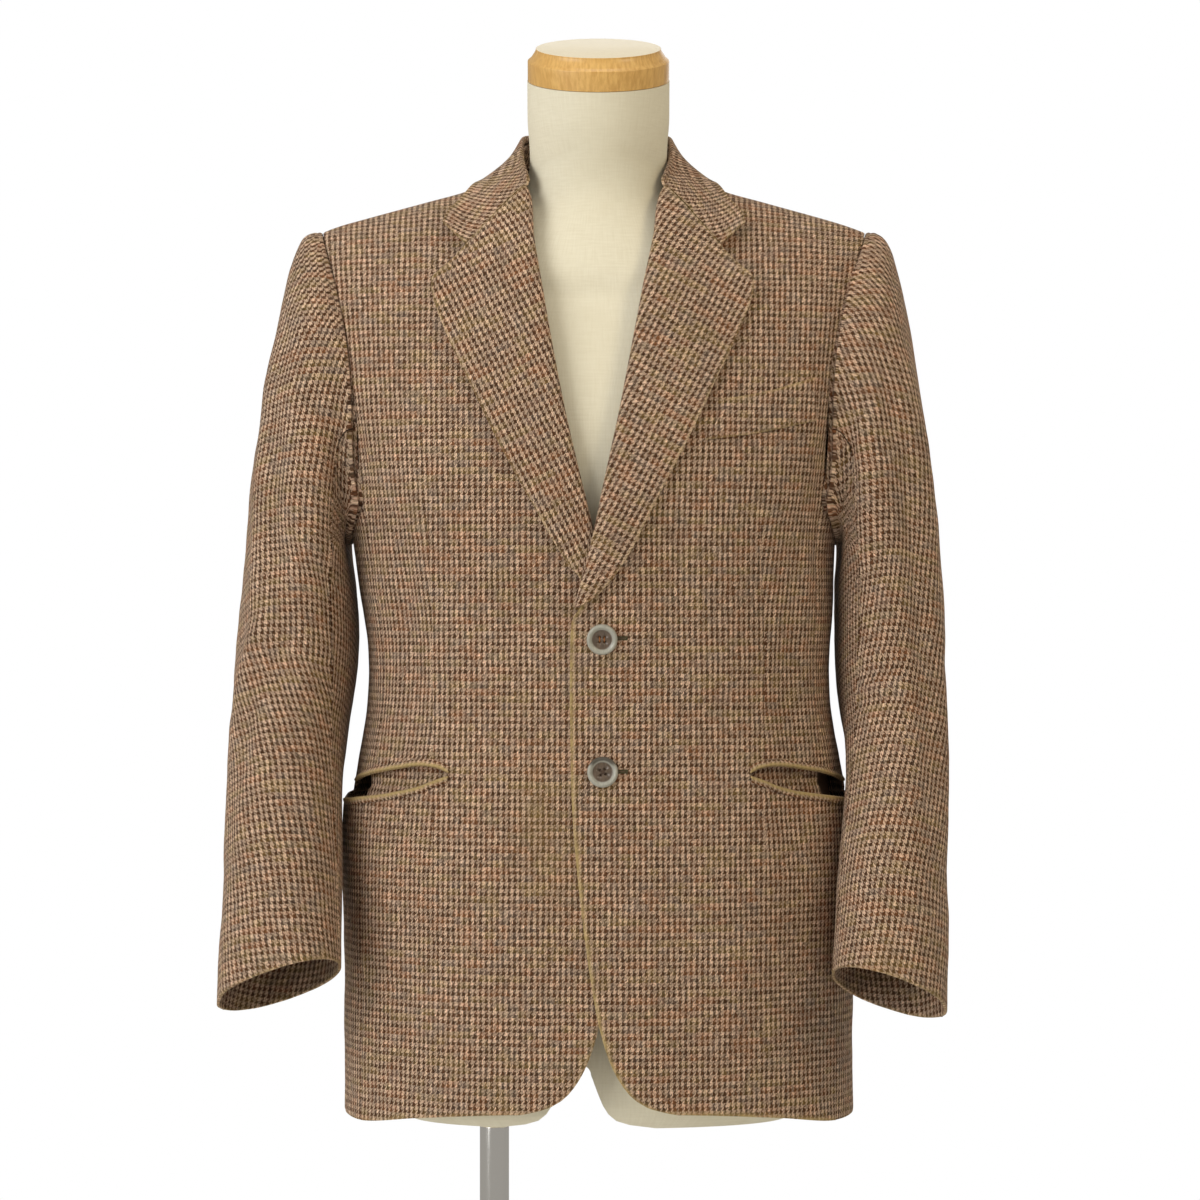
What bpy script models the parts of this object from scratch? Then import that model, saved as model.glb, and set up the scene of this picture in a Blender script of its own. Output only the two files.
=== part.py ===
"""Tweed hacking jacket on a limbless dress form, in metres, +Z up, +X the wearer's left, -Y the front.

The jacket is cut and assembled as a tailor would: fronts, side panels and backs laid on one body
surface, two-piece sleeves set into the armholes, lapels, collar and pockets laid on top.
"""

import bisect
import math

import bmesh
import bpy
from mathutils import Matrix, Vector

# ---------------------------------------------------------------- driving dimensions

WALL = 0.0020  # thickness of the tweed
SEAM = 0.0002  # each side of a seam stops this far short of it
LAYER = 0.0042  # outer face of a turned-over layer, above the cloth it lies on
LEFT, RIGHT = 1, -1  # the wearer's sides

SECTION_ROUND = 2.3  # exponent of the body's horizontal sections
CHEST_Z, CHEST_ROUND = 1.060, 1.8  # the front slopes back to the shoulder from this height
BLADE_Z, BLADE_ROUND = 1.100, 2.2  # and the back from this one
SPLIT_Z = 1.072  # top of the side seams, where the armhole starts
FRONT_SEAM, BACK_SEAM = 65.0, 118.0  # degrees from the centre front round to the side panel's seams
SHOULDER_TIP = 0.2085
ARMPIT_Z = 1.045

VENT_TOP, VENT_LAP = 0.855, 0.035
BACK_NECK_LEVEL = 0.712

BUTTON_RADIUS, BUTTON_THICK = 0.0115, 0.0040
BUTTON_HEIGHTS = (0.9715, 0.8727)
BUTTON_X = 0.0023
CUFF_BUTTON_RADIUS, CUFF_BUTTON_THICK = 0.0074, 0.0030
CUFF_BUTTON_ROWS = (14.95, 15.40)
BUTTON_LIFT, CUFF_BUTTON_LIFT = 0.0004, 0.0008  # on its thread, above the cloth's curve

NECK_TILT = math.radians(17.0)
NECK_RADIUS, NECK_SWELL, NECK_TOP_Z = 0.0526, 0.0016, 1.396
CAP_RADIUS, CAP_BAND, CAP_BEVEL, CAP_SLOPE = 0.0539, 0.0150, 0.0095, 0.0062
FORM_GAP = 0.0015  # form below the cloth along the shoulders
FORM_TOP = 1.3075  # the form's shoulders run level into the neck from here
CROTCH_X, CROTCH_TOP, FORM_BOTTOM = -0.016, 0.655, 0.605

POLE_X, POLE_RADIUS = -0.0804, 0.0112
SOCKET_TOP_RADIUS, SOCKET_FOOT_RADIUS, SOCKET_HEIGHT = 0.0175, 0.0145, 0.0085
BASE_RADIUS, BASE_THICK = 0.180, 0.012
CLEAR = 0.0003


def table(names, *rows):
    """A short table as named columns."""
    return {name: [row[i] for row in rows] for i, name in enumerate(names.split())}


# half-width and depths of the jacket, bottom to top
SECTION = table(
    "z width front back",
    (0.600, 0.1950, 0.128, 0.124),
    (0.700, 0.1950, 0.130, 0.128),
    (0.780, 0.1950, 0.129, 0.125),
    (0.845, 0.1900, 0.126, 0.115),
    (0.880, 0.1845, 0.123, 0.107),
    (0.915, 0.1785, 0.120, 0.100),
    (0.950, 0.1768, 0.119, 0.097),
    (1.000, 0.1812, 0.122, 0.101),
    (1.055, 0.1870, 0.128, 0.110),
    (1.100, 0.1990, 0.131, 0.117),
    (1.150, 0.2110, 0.132, 0.122),
    (1.200, 0.2215, 0.131, 0.123),
    (1.260, 0.2310, 0.129, 0.123),
    (1.340, 0.2360, 0.127, 0.122),
)
# height of the shoulder line, centre to sleeve
SHOULDER = table(
    "x front back",
    (0.000, 1.3350, 1.3500),
    (0.030, 1.3345, 1.3470),
    (0.055, 1.3305, 1.3380),
    (0.078, 1.3225, 1.3230),
    (0.093, 1.3165, 1.3165),
    (0.104, 1.3125, 1.3125),
    (0.127, 1.3063, 1.3063),
    (0.149, 1.3003, 1.3003),
    (0.172, 1.2940, 1.2940),
    (0.193, 1.2880, 1.2880),
    (0.2085, 1.2825, 1.2825),
    (0.240, 1.2680, 1.2680),
)
# the shoulders hang a little to the wearer's right
LEAN = table(
    "z shift",
    (0.600, 0.0000),
    (0.970, 0.0000),
    (1.050, -0.0037),
    (1.150, -0.0050),
    (1.250, -0.0045),
    (1.340, -0.0020),
)
HEM = table(
    "angle z",
    (0, 0.6205),
    (20, 0.6195),
    (40, 0.6150),
    (60, 0.6088),
    (75, 0.6085),
    (90, 0.6120),
    (120, 0.6210),
    (150, 0.6290),
    (180, 0.6320),
)
# inner edge of a front: cutaway, edge, then the roll line to the neck
FRONT_EDGE = table(
    "z x",
    (0.6180, 0.0750),
    (0.6195, 0.0620),
    (0.6225, 0.0470),
    (0.6275, 0.0330),
    (0.6370, 0.0213),
    (0.6555, 0.0098),
    (0.6830, 0.0007),
    (0.7220, -0.0066),
    (0.7770, -0.0140),
    (0.8430, -0.0200),
    (0.9100, -0.0215),
    (0.9600, -0.0212),
    (0.9850, -0.0195),
    (0.9960, -0.0160),
    (1.0150, -0.0098),
    (1.0478, 0.0000),
    (1.0810, 0.0078),
    (1.1326, 0.0195),
    (1.1627, 0.0255),
    (1.2000, 0.0325),
    (1.2300, 0.0378),
    (1.2700, 0.0452),
    (1.3130, 0.0520),
    (1.3255, 0.0700),
)
ROLL_START, ROLL_END = 0.9850, 1.3130
ARMHOLE = table(
    "z front back",
    (1.072, 0.1756, 0.1715),
    (1.086, 0.1785, 0.1768),
    (1.100, 0.1802, 0.1812),
    (1.130, 0.1815, 0.1850),
    (1.155, 0.1820, 0.1870),
    (1.200, 0.1868, 0.1925),
    (1.240, 0.1960, 0.2000),
    (1.2825, 0.2085, 0.2085),
)
# a lapel's rows, from the break up to the gorge: its roll line and its edge
LAPEL = table(
    "t roll_z edge_x edge_z",
    (0.00, 0.9960, -0.0100, 0.9975),
    (0.08, 1.0150, 0.0040, 1.0080),
    (0.18, 1.0478, 0.0235, 1.0330),
    (0.28, 1.0810, 0.0420, 1.0670),
    (0.43, 1.1326, 0.0690, 1.1170),
    (0.60, 1.1850, 0.0925, 1.1660),
    (0.74, 1.2300, 0.1082, 1.1985),
    (0.87, 1.2700, 0.1172, 1.2230),
    (1.00, 1.3130, 0.1188, 1.2378),
)
RIGHT_LAPEL_START = 0.105  # the rest of it is under the left front
# the lapel's section: out from the roll line, and above the front
ROLL = table(
    "s out up",
    (0.00, 0.0009, -0.0021),
    (0.06, -0.0007, -0.0008),
    (0.12, -0.0012, 0.0012),
    (0.19, 0.0004, 0.0034),
    (0.28, 0.0036, 0.0047),
    (0.40, 0.0090, 0.0050),
)
ROLL_INSET = 0.0039  # the front's own edge stays this far inside the roll
# how far the left front stands off, over the right one and its lapel
OVERLAP = table(
    "z lift",
    (0.600, 0.0028),
    (0.930, 0.0028),
    (0.965, 0.0042),
    (0.990, 0.0068),
    (1.010, 0.0074),
    (1.042, 0.0074),
    (1.065, 0.0052),
    (1.095, 0.0016),
    (1.120, 0.0000),
)
# collar lines from the centre back (0) to the gorge (1)
FOLD = table(
    "u x y z",
    (0.00, 0.0000, 0.0690, 1.3640),
    (0.20, 0.0270, 0.0640, 1.3630),
    (0.38, 0.0475, 0.0490, 1.3615),
    (0.54, 0.0580, 0.0250, 1.3580),
    (0.70, 0.0595, 0.0000, 1.3480),
    (0.85, 0.0576, -0.0230, 1.3320),
    (1.00, 0.0520, -0.0425, 1.3130),
)
LEAF = table(
    "u x y z",
    (0.00, 0.0000, 0.0805, 1.3060),
    (0.14, 0.0230, 0.0795, 1.3050),
    (0.28, 0.0460, 0.0760, 1.3035),
    (0.42, 0.0690, 0.0650, 1.3040),
    (0.54, 0.0840, 0.0480, 1.3090),
    (0.66, 0.0895, 0.0180, 1.3185),
    (0.72, 0.0912, 0.0000, 1.3210),
    (0.82, 0.1005, -0.0280, 1.3060),
    (0.91, 0.1090, -0.0430, 1.2920),
    (1.00, 0.1124, -0.0530, 1.2800),
)
NOTCH_X, NOTCH_Z, NOTCH_SHARE = 0.0942, 1.2655, 0.70
GORGE_FROM = 0.74  # the collar's rows bend down to the gorge from here
GORGE_EASE, COLLAR_LIFT = 0.0018, 0.0048  # lapel and collar keep apart where both roll over
STAND_FOOT = table(
    "u x y z",
    (0.00, 0.0000, 0.0655, 1.3195),
    (0.20, 0.0280, 0.0590, 1.3250),
    (0.38, 0.0490, 0.0440, 1.3310),
    (0.54, 0.0630, 0.0220, 1.3330),
    (0.68, 0.0705, 0.0020, 1.3290),
    (0.82, 0.0660, -0.0190, 1.3250),
)
STAND_END = 0.80
# the hip pocket's slot: angle round the body, middle height, half its gape
POCKET = table(
    "angle z half",
    (33.0, 0.8702, 0.0010),
    (37.0, 0.8706, 0.0050),
    (43.5, 0.8682, 0.0088),
    (54.0, 0.8640, 0.0098),
    (65.0, 0.8600, 0.0094),
    (78.0, 0.8556, 0.0076),
    (88.0, 0.8530, 0.0012),
)
GAPE, GAPE_BELOW, GAPE_ABOVE = 0.0065, 0.070, 0.008
JET_WIDTH, JET_THICK = 0.0042, 0.0016
FLAP_DROP, FLAP_DEPTH = 0.020, 0.0068
WELT = table(
    "s top_x top_z foot_x foot_z",
    (0.00, 0.1010, 1.1490, 0.0830, 1.1180),
    (0.50, 0.1335, 1.1560, 0.1220, 1.1235),
    (1.00, 0.1660, 1.1665, 0.1672, 1.1340),
)
WELT_THICK = 0.0016

# sleeve rings: outer point, inner point, middle and half-depth, and the ring's pitch
SLEEVE = table(
    "row out_x out_z in_x in_z mid_y depth pitch joined",
    (0, 0.2089, 1.2825, 0.1868, 1.0455, 0.0000, 0.0680, 0, 1.00),
    (1, 0.2170, 1.2838, 0.1872, 1.0475, 0.0000, 0.0700, 0, 0.75),
    (2, 0.2270, 1.2740, 0.1885, 1.0440, 0.0000, 0.0720, 0, 0.45),
    (3, 0.2347, 1.2450, 0.1882, 1.0350, 0.0000, 0.0740, 0, 0.20),
    (4, 0.2419, 1.2045, 0.1868, 1.0220, 0.0000, 0.0755, 0, 0.06),
    (5, 0.2488, 1.1650, 0.1855, 1.0090, 0.0010, 0.0765, 0, 0.00),
    (6, 0.2550, 1.1250, 0.1848, 0.9960, 0.0015, 0.0765, 0, 0.00),
    (7, 0.2598, 1.0850, 0.1845, 0.9820, 0.0020, 0.0755, 1, 0.00),
    (8, 0.2637, 1.0400, 0.1845, 0.9660, 0.0010, 0.0740, 2, 0.00),
    (9, 0.2675, 0.9920, 0.1855, 0.9470, -0.0010, 0.0715, 3, 0.00),
    (10, 0.2698, 0.9500, 0.1875, 0.9250, -0.0040, 0.0685, 5, 0.00),
    (11, 0.2710, 0.9100, 0.1900, 0.8980, -0.0110, 0.0650, 8, 0.00),
    (12, 0.2712, 0.8700, 0.1905, 0.8660, -0.0250, 0.0610, 13, 0.00),
    (13, 0.2708, 0.8250, 0.1892, 0.8300, -0.0450, 0.0570, 17, 0.00),
    (14, 0.2698, 0.7800, 0.1877, 0.7900, -0.0630, 0.0530, 19, 0.00),
    (15, 0.2704, 0.7350, 0.1864, 0.7530, -0.0790, 0.0490, 20, 0.00),
    (16, 0.2703, 0.6935, 0.1845, 0.7230, -0.0930, 0.0455, 20, 0.00),
)
SLEEVE_ROUND = 2.15
# the wearer's right sleeve hangs further out and is a little fuller
SLEEVE_SWING = table("row shift", (0, 0.0), (4, -0.0012), (8, -0.0015), (11, 0.0008), (16, 0.0064))
SLEEVE_SHORT = 0.13  # and the right one is this part of a row shorter
FOREARM_FORWARD = 0.008  # the left forearm hangs further to the front
# columns of the under sleeve, as shares from the inseam to the elbow seam
UNDER_SHARES = (0, 0.05, 0.172, 0.26, 0.366, 0.47, 0.56, 0.70, 0.86, 0.96, 1)
SLEEVE_FULLNESS = 0.04
SLEEVE_CLEAR = 0.0037  # between the sleeves and the jacket's sides
INSEAM, ELBOW_SEAM = 118.0, 285.0  # degrees round the ring from its outermost point
SLEEVE_SEAM = 0.60  # degrees that each edge stops short of the seam
SEAM_TWIST = table("row turn", (0, 0), (7, 4), (11, 20), (16, 55))

# the form: half-width and depths under the jacket
FORM = table(
    "z width front back",
    (0.605, 0.1580, 0.094, 0.098),
    (0.640, 0.1660, 0.100, 0.106),
    (0.720, 0.1700, 0.104, 0.112),
    (0.800, 0.1690, 0.102, 0.108),
    (0.870, 0.1600, 0.098, 0.092),
    (0.940, 0.1520, 0.099, 0.082),
    (1.000, 0.1580, 0.106, 0.088),
    (1.060, 0.1680, 0.116, 0.100),
    (1.120, 0.1760, 0.121, 0.110),
    (1.200, 0.1860, 0.121, 0.115),
    (1.290, 0.1930, 0.118, 0.115),
    (1.360, 0.1930, 0.115, 0.112),
)

# half-width of the arch between the thigh stubs, down past their feet
CROTCH_FLARE = table(
    "x z",
    (0.0155, 0.6320),
    (0.0190, 0.6235),
    (0.0230, 0.6170),
    (0.0290, 0.6115),
    (0.0390, 0.6080),
    (0.0620, 0.6045),
    (0.0600, 0.5800),
)

COLOURS = {
    "tweed": ((0.165, 0.112, 0.078), 0.90, 0.0),
    "pocket lining": ((0.030, 0.024, 0.020), 0.80, 0.0),
    "horn": ((0.330, 0.320, 0.285), 0.30, 0.0),
    "dark horn": ((0.045, 0.032, 0.025), 0.35, 0.0),
    "linen": ((0.730, 0.690, 0.580), 0.85, 0.0),
    "wood": ((0.640, 0.400, 0.185), 0.40, 0.0),
    "chrome": ((0.800, 0.800, 0.800), 0.12, 1.0),
    "painted steel": ((0.780, 0.770, 0.740), 0.45, 0.0),
}


# ---------------------------------------------------------------- tools


def read(columns, key, name, at):
    """One column at any place between the rows, on a smooth curve through them."""
    xs, ys = columns[key], columns[name]
    if at <= xs[0]:
        return ys[0]
    if at >= xs[-1]:
        return ys[-1]
    i = bisect.bisect_right(xs, at) - 1

    def slope(j):
        lo, hi = max(j - 1, 0), min(j + 1, len(xs) - 1)
        return (ys[hi] - ys[lo]) / (xs[hi] - xs[lo])

    width = xs[i + 1] - xs[i]
    t = (at - xs[i]) / width
    start, end = slope(i) * width, slope(i + 1) * width
    share = (2 * t - 3) * t * t + 1
    bend = ((t - 2) * t + 1) * t * start + (t - 1) * t * t * end
    return share * ys[i] + (1 - share) * ys[i + 1] + bend


def step(at, low, high):
    """0 at low, 1 at high, smooth between; low may be above high."""
    t = min(max((at - low) / (high - low), 0.0), 1.0)
    return t * t * (3 - 2 * t)


def mix(a, b, share):
    return a + (b - a) * share


def power(value, exponent):
    return math.copysign(abs(value) ** exponent, value)


def collection(name, hidden=False):
    made = bpy.data.collections.new(name)
    bpy.context.scene.collection.children.link(made)
    made.hide_render = hidden
    return made


def material(name):
    found = bpy.data.materials.get(name)
    if found:
        return found
    colour, roughness, metallic = COLOURS[name]
    made = bpy.data.materials.new(name)
    made.use_nodes = True
    shader = made.node_tree.nodes["Principled BSDF"]
    shader.inputs["Base Color"].default_value = (*colour, 1.0)
    shader.inputs["Roughness"].default_value = roughness
    shader.inputs["Metallic"].default_value = metallic
    return made


def add(name, bm, finish, home):
    """A new object from a bmesh, shaded smooth."""
    mesh = bpy.data.meshes.new(name)
    bm.to_mesh(mesh)
    bm.free()
    mesh.shade_smooth()
    mesh.set_sharp_from_angle(angle=math.radians(40))
    obj = bpy.data.objects.new(name, mesh)
    obj.data.materials.append(material(finish))
    home.objects.link(obj)
    return obj


def cloth(name, columns, rows, place, finish="tweed", wall=WALL, flip=False, home=None):
    """A cloth piece: an open grid with place(s, t) as its outer face, and its wall inside."""
    bm = bmesh.new()
    bmesh.ops.create_grid(bm, x_segments=columns, y_segments=rows, size=0.5)
    for vert in bm.verts:
        vert.co = place(vert.co.x + 0.5, vert.co.y + 0.5)
    if flip:
        bmesh.ops.reverse_faces(bm, faces=bm.faces)
    obj = add(name, bm, finish, home or GARMENT)
    solid = obj.modifiers.new("Wall", "SOLIDIFY")
    solid.thickness = wall
    solid.offset = -1
    solid.use_even_offset = True
    return obj


# ---------------------------------------------------------------- the body surface


def dome(x, z, back):
    """How far a section has drawn in towards the shoulder line: 1 below the chest, 0 on the line."""
    base, roundness = (BLADE_Z, BLADE_ROUND) if back else (CHEST_Z, CHEST_ROUND)
    top = read(SHOULDER, "x", "back" if back else "front", abs(x))
    rise = min(max((z - base) / (top - base), 0.0), 1.0)
    return (1 - rise**roundness) ** (1 / roundness)


def body(angle, z):
    """Point at an angle from the centre front (negative across it) and a height, lean left out."""
    turn = math.radians(angle)
    back = angle > 90
    x = read(SECTION, "z", "width", z) * power(math.sin(turn), 2 / SECTION_ROUND)
    depth = read(SECTION, "z", "back" if back else "front", z)
    depth *= abs(math.cos(turn)) ** (2 / SECTION_ROUND) * dome(x, z, back)
    return Vector((x, depth if back else -depth, z))


def angle_at(x, z, back=False):
    share = min(abs(x) / read(SECTION, "z", "width", z), 1.0)
    angle = math.degrees(math.asin(share ** (SECTION_ROUND / 2)))
    return 180 - math.copysign(angle, x) if back else math.copysign(angle, x)


def gape(angle, z):
    """The cloth below a hip pocket hangs away from the body."""
    below = read(POCKET, "angle", "z", angle) - z
    fall = math.exp(-((below / GAPE_BELOW) ** 2)) if below > 0 else 0.0
    edge = step(below, -GAPE_ABOVE, GAPE_ABOVE)
    return GAPE * step(angle, 36, 80) * step(angle, 128, 96) * fall * edge


def stand_off(side, x, z):
    """The left front lies over the right one."""
    if side == RIGHT:
        return 0.0
    return read(OVERLAP, "z", "lift", z) * step(x, 0.066, 0.026)


def skin(side, angle, z, up=0.0):
    """Point of the jacket's outer face on one side, moved out by up, with lean."""
    point = body(angle, z)
    reach, rise = 0.4, 0.0012
    low = z - rise
    across = body(angle + reach, z) - body(angle - reach, z)
    along = body(angle, z) - body(angle, low)
    normal = across.cross(along).normalized()
    lift = up + gape(angle, z)
    if angle < 90:
        lift += stand_off(side, point.x, z)
    point = point + normal * lift
    y = max(point.y, SEAM) if angle > 90 else min(point.y, -SEAM)
    return Vector((side * point.x + read(LEAN, "z", "shift", z), y, point.z))


def on_front(side, x, z, up=0.0):
    return skin(side, angle_at(x, z), z, up)


# ---------------------------------------------------------------- body panels

# rows of the panels below the armpit, as shares from the hem up; four of them run along the hip pocket
LOW_ROWS = [
    0.0, 0.008, 0.020, 0.041, 0.077, 0.140, 0.215, 0.294, 0.374, 0.453,
    "slot", "slot", "slot", "slot", 0.623, 0.691, 0.770, 0.849, 0.925, 1.0,
]  # fmt: skip
SLOT_ROWS = {10: (-1, 0.0075), 11: (-1, 0.0010), 12: (1, 0.0010), 13: (1, 0.0075)}
HIGH_LEVELS = [0.10, 0.20, 0.30, 0.40, 0.50, 0.60, 0.70, 0.79, 0.87, 0.94, 0.985, 1.0]
LEVEL_EASE = 1.1
TOP_ROW = len(LOW_ROWS) + len(HIGH_LEVELS) - 1


def low_z(angle, row):
    if row in SLOT_ROWS:
        edge, beyond = SLOT_ROWS[row]
        half = max(read(POCKET, "angle", "half", angle), 0.0045)
        return read(POCKET, "angle", "z", angle) + edge * (half + beyond)
    return mix(read(HEM, "angle", "z", abs(angle)), SPLIT_Z, LOW_ROWS[row])


def narrow_ends(s):
    """Columns crowd towards both edges of a piece, so that its edges keep their curve."""
    return s - 0.105 * math.sin(2 * math.pi * s)


def high_z(x, level, back):
    top = read(SHOULDER, "x", "back" if back else "front", abs(x))
    if back:
        level *= mix(BACK_NECK_LEVEL, 1.0, step(abs(x), -0.01, 0.078) ** 1.6)
    return SPLIT_Z + (top - SPLIT_Z) * math.sin(math.pi / 2 * level) ** LEVEL_EASE


def settle(guess, level, back, column):
    """Where a row meets an edge given as x against z."""
    x = guess
    for _ in range(24):
        x = mix(x, column(high_z(x, level, back)), 0.5)
    return x, high_z(x, level, back)


def high_point(angle, level, back):
    """Angle and height on one of the rows above the armpit."""
    z = SPLIT_Z
    for _ in range(12):
        x = read(SECTION, "z", "width", z) * power(math.sin(math.radians(angle)), 2 / SECTION_ROUND)
        z = high_z(x, level, back)
    return angle, z


def front_x(z):
    inset = ROLL_INSET * step(z, ROLL_START, ROLL_START + 0.012) * step(z, 1.3255, ROLL_END)
    return read(FRONT_EDGE, "z", "x", z) + inset


def front_place(side):
    def place(s, t):
        row, s = round(t * TOP_ROW), narrow_ends(s)
        if row < len(LOW_ROWS):
            z = low_z(0, row)
            for _ in range(8):
                x = front_x(z)
                inner = angle_at(x, z)
                z = low_z(inner, row)
            angle = mix(inner, FRONT_SEAM, s)
            z = low_z(angle, row)
        else:
            level = HIGH_LEVELS[row - len(LOW_ROWS)]
            x, z = settle(0.02, level, False, front_x)
            inner = angle_at(x, z)
            x, z = settle(0.18, level, False, lambda h: read(ARMHOLE, "z", "front", h))
            outer = angle_at(x, z)
            angle, z = high_point(mix(inner, outer, s), level, False)
        if s > 0.999:
            angle -= SEAM_ANGLE
        return skin(side, angle, z)

    return place


SEAM_ANGLE = math.degrees(SEAM / 0.16)


def side_place(side):
    def place(s, t):
        s = narrow_ends(s)
        angle = mix(FRONT_SEAM + SEAM_ANGLE, BACK_SEAM - SEAM_ANGLE, s)
        row = round(t * (len(LOW_ROWS) - 1))
        z = low_z(angle, row)
        drop = (SPLIT_Z - ARMPIT_Z) * (1 - ((angle - 91.5) / 26.5) ** 2)
        return skin(side, angle, z - drop * step(row, 13, len(LOW_ROWS) - 1))

    return place


def vent_x(side, z):
    """Inner edge of a back: the seam, and below it the vent's lap on the left back."""
    if side == RIGHT:
        return SEAM
    return mix(-VENT_LAP, SEAM, step(z, VENT_TOP - 0.012, VENT_TOP + 0.010))


def back_place(side):
    def place(s, t):
        row, s = round(t * TOP_ROW), narrow_ends(s)
        if row < len(LOW_ROWS):
            z = low_z(180, row)
            inner = angle_at(vent_x(side, z), z, True)
            angle = mix(inner, BACK_SEAM, s)
            z = low_z(angle, row)
        else:
            level = HIGH_LEVELS[row - len(LOW_ROWS)]
            inner = angle_at(SEAM, high_z(SEAM, level, True), True)
            x, z = settle(0.18, level, True, lambda h: read(ARMHOLE, "z", "back", h))
            outer = angle_at(x, z, True)
            angle, z = high_point(mix(inner, outer, s), level, True)
        if s > 0.999:
            angle += SEAM_ANGLE
        lap = 0.0
        if side == LEFT:
            lap = 0.0025 * step(z, VENT_TOP + 0.045, VENT_TOP + 0.012)
            lap *= step(angle, 160, 172)
        return skin(side, angle, z, lap)

    return place


def make_panels():
    for side, mark in ((LEFT, "l"), (RIGHT, "r")):
        cloth(f"front_{mark}", 10, TOP_ROW, front_place(side), flip=side == RIGHT)
        cloth(f"side_{mark}", 5, len(LOW_ROWS) - 1, side_place(side), flip=side == RIGHT)
        cloth(f"back_{mark}", 8, TOP_ROW, back_place(side), flip=side == LEFT)


# ---------------------------------------------------------------- hip pockets


def pocket_point(side, along, up, offset):
    """On the slot's line, up as a share of half its gape, offset out of the cloth."""
    angle = mix(POCKET["angle"][0], POCKET["angle"][-1], along)
    z = read(POCKET, "angle", "z", angle) + up * read(POCKET, "angle", "half", angle)
    return skin(side, angle, z, offset)


def make_pockets():
    for side, mark in ((LEFT, "l"), (RIGHT, "r")):
        flip = side == RIGHT

        def slot(s, t):
            return pocket_point(side, s, mix(-1, 1, t), 0.010)

        cutter = cloth(f"slot_{mark}", 14, 2, slot, wall=0.024, flip=flip, home=CUTTERS)
        cutter.display_type = "WIRE"
        cutter.hide_render = True
        for panel in ("front", "side"):
            cut = bpy.data.objects[f"{panel}_{mark}"].modifiers.new("Slot", "BOOLEAN")
            cut.operation = "DIFFERENCE"
            cut.object = cutter

        for name, edge in (("upper", 1), ("lower", -1)):

            def jet(s, t):
                angle = mix(POCKET["angle"][0] + 0.8, POCKET["angle"][-1] - 9.0, s)
                half = read(POCKET, "angle", "half", angle)
                z = read(POCKET, "angle", "z", angle) + edge * (half + mix(-0.0004, JET_WIDTH, t))
                return skin(side, angle, z, CLEAR + 0.0002 + JET_THICK)

            cloth(f"jet_{name}_{mark}", 12, 1, jet, wall=JET_THICK, flip=flip ^ (edge < 0))

        def flap(s, t):
            angle = mix(34.0, 64.2, s)
            top = read(POCKET, "angle", "z", angle) + read(POCKET, "angle", "half", angle) + 0.010
            z = mix(top - 0.010 - FLAP_DROP - read(POCKET, "angle", "half", angle), top, t)
            depth = mix(FLAP_DEPTH, WALL + 3 * CLEAR, step(t, 0.55, 1.0))
            return skin(side, angle, z, -depth - 0.5 * gape(angle, z))

        cloth(f"flap_{mark}", 8, 4, flap, flip=flip)

        def bag(s, t):
            angle = mix(33.0, 89.0, s)
            middle = read(POCKET, "angle", "z", angle)
            z = mix(middle - 0.034, middle + 0.032, t)
            seat = WALL + 2 * CLEAR + 0.0014 * step(angle, 55, 68)
            depth = mix(FLAP_DEPTH + WALL + 0.0035, seat, step(t, 0.7, 1.0))
            return skin(side, angle, z, -depth - gape(angle, z))

        cloth(f"pocket_bag_{mark}", 8, 3, bag, finish="pocket lining", wall=0.0012, flip=flip)


# ---------------------------------------------------------------- lapels, collar and welt


def lapel_place(side):
    first = RIGHT_LAPEL_START if side == RIGHT else 0.0

    def place(s, t):
        t = mix(first, 1.0, t)
        roll_z = read(LAPEL, "t", "roll_z", t)
        roll_x = read(FRONT_EDGE, "z", "x", roll_z)
        edge_x, edge_z = read(LAPEL, "t", "edge_x", t), read(LAPEL, "t", "edge_z", t)
        across = Vector((edge_x - roll_x, 0, edge_z - roll_z))
        width = across.length
        across.normalize()
        last = ROLL["s"][-1]
        turned = min(ROLL["out"][-1], 0.45 * width) / ROLL["out"][-1]
        if s <= last:
            out, up = read(ROLL, "s", "out", s), read(ROLL, "s", "up", s)
            out *= turned if out > 0.001 else 1.0
        else:
            share = (s - last) / (1 - last)
            out = mix(ROLL["out"][-1] * turned, width, share)
            up = mix(ROLL["up"][-1], LAYER, step(share, 0.0, 0.5))
        gap = (CLEAR + GORGE_EASE * (1 - s) ** 4) * step(t, 0.97, 1.0)
        x, z = roll_x + across.x * out, roll_z + across.z * out - gap
        return on_front(side, x, z, up)

    return place


def height(x, y):
    """Height of the shoulders' outer face over a place in plan."""
    back = y > 0
    low, high = 1.08, read(SHOULDER, "x", "back" if back else "front", abs(x))
    for _ in range(24):
        z = (low + high) / 2
        share = min(abs(x) / read(SECTION, "z", "width", z), 1.0) ** SECTION_ROUND
        depth = read(SECTION, "z", "back" if back else "front", z)
        if depth * (1 - share) ** (1 / SECTION_ROUND) * dome(x, z, back) > abs(y):
            low = z
        else:
            high = z
    return low


def on_line(line, u):
    return Vector([read(line, "u", name, u) for name in "xyz"])


COLLAR_TURN = (  # the cloth's way over the fold: inward and up
    (0.0037, -0.0038),
    (0.0036, -0.0008),
    (0.0026, 0.0010),
    (0.0010, 0.0011),
)
COLLAR_SHARES = (0.0, 0.14, 0.34, 0.54, 0.70, 1.0)


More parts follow.
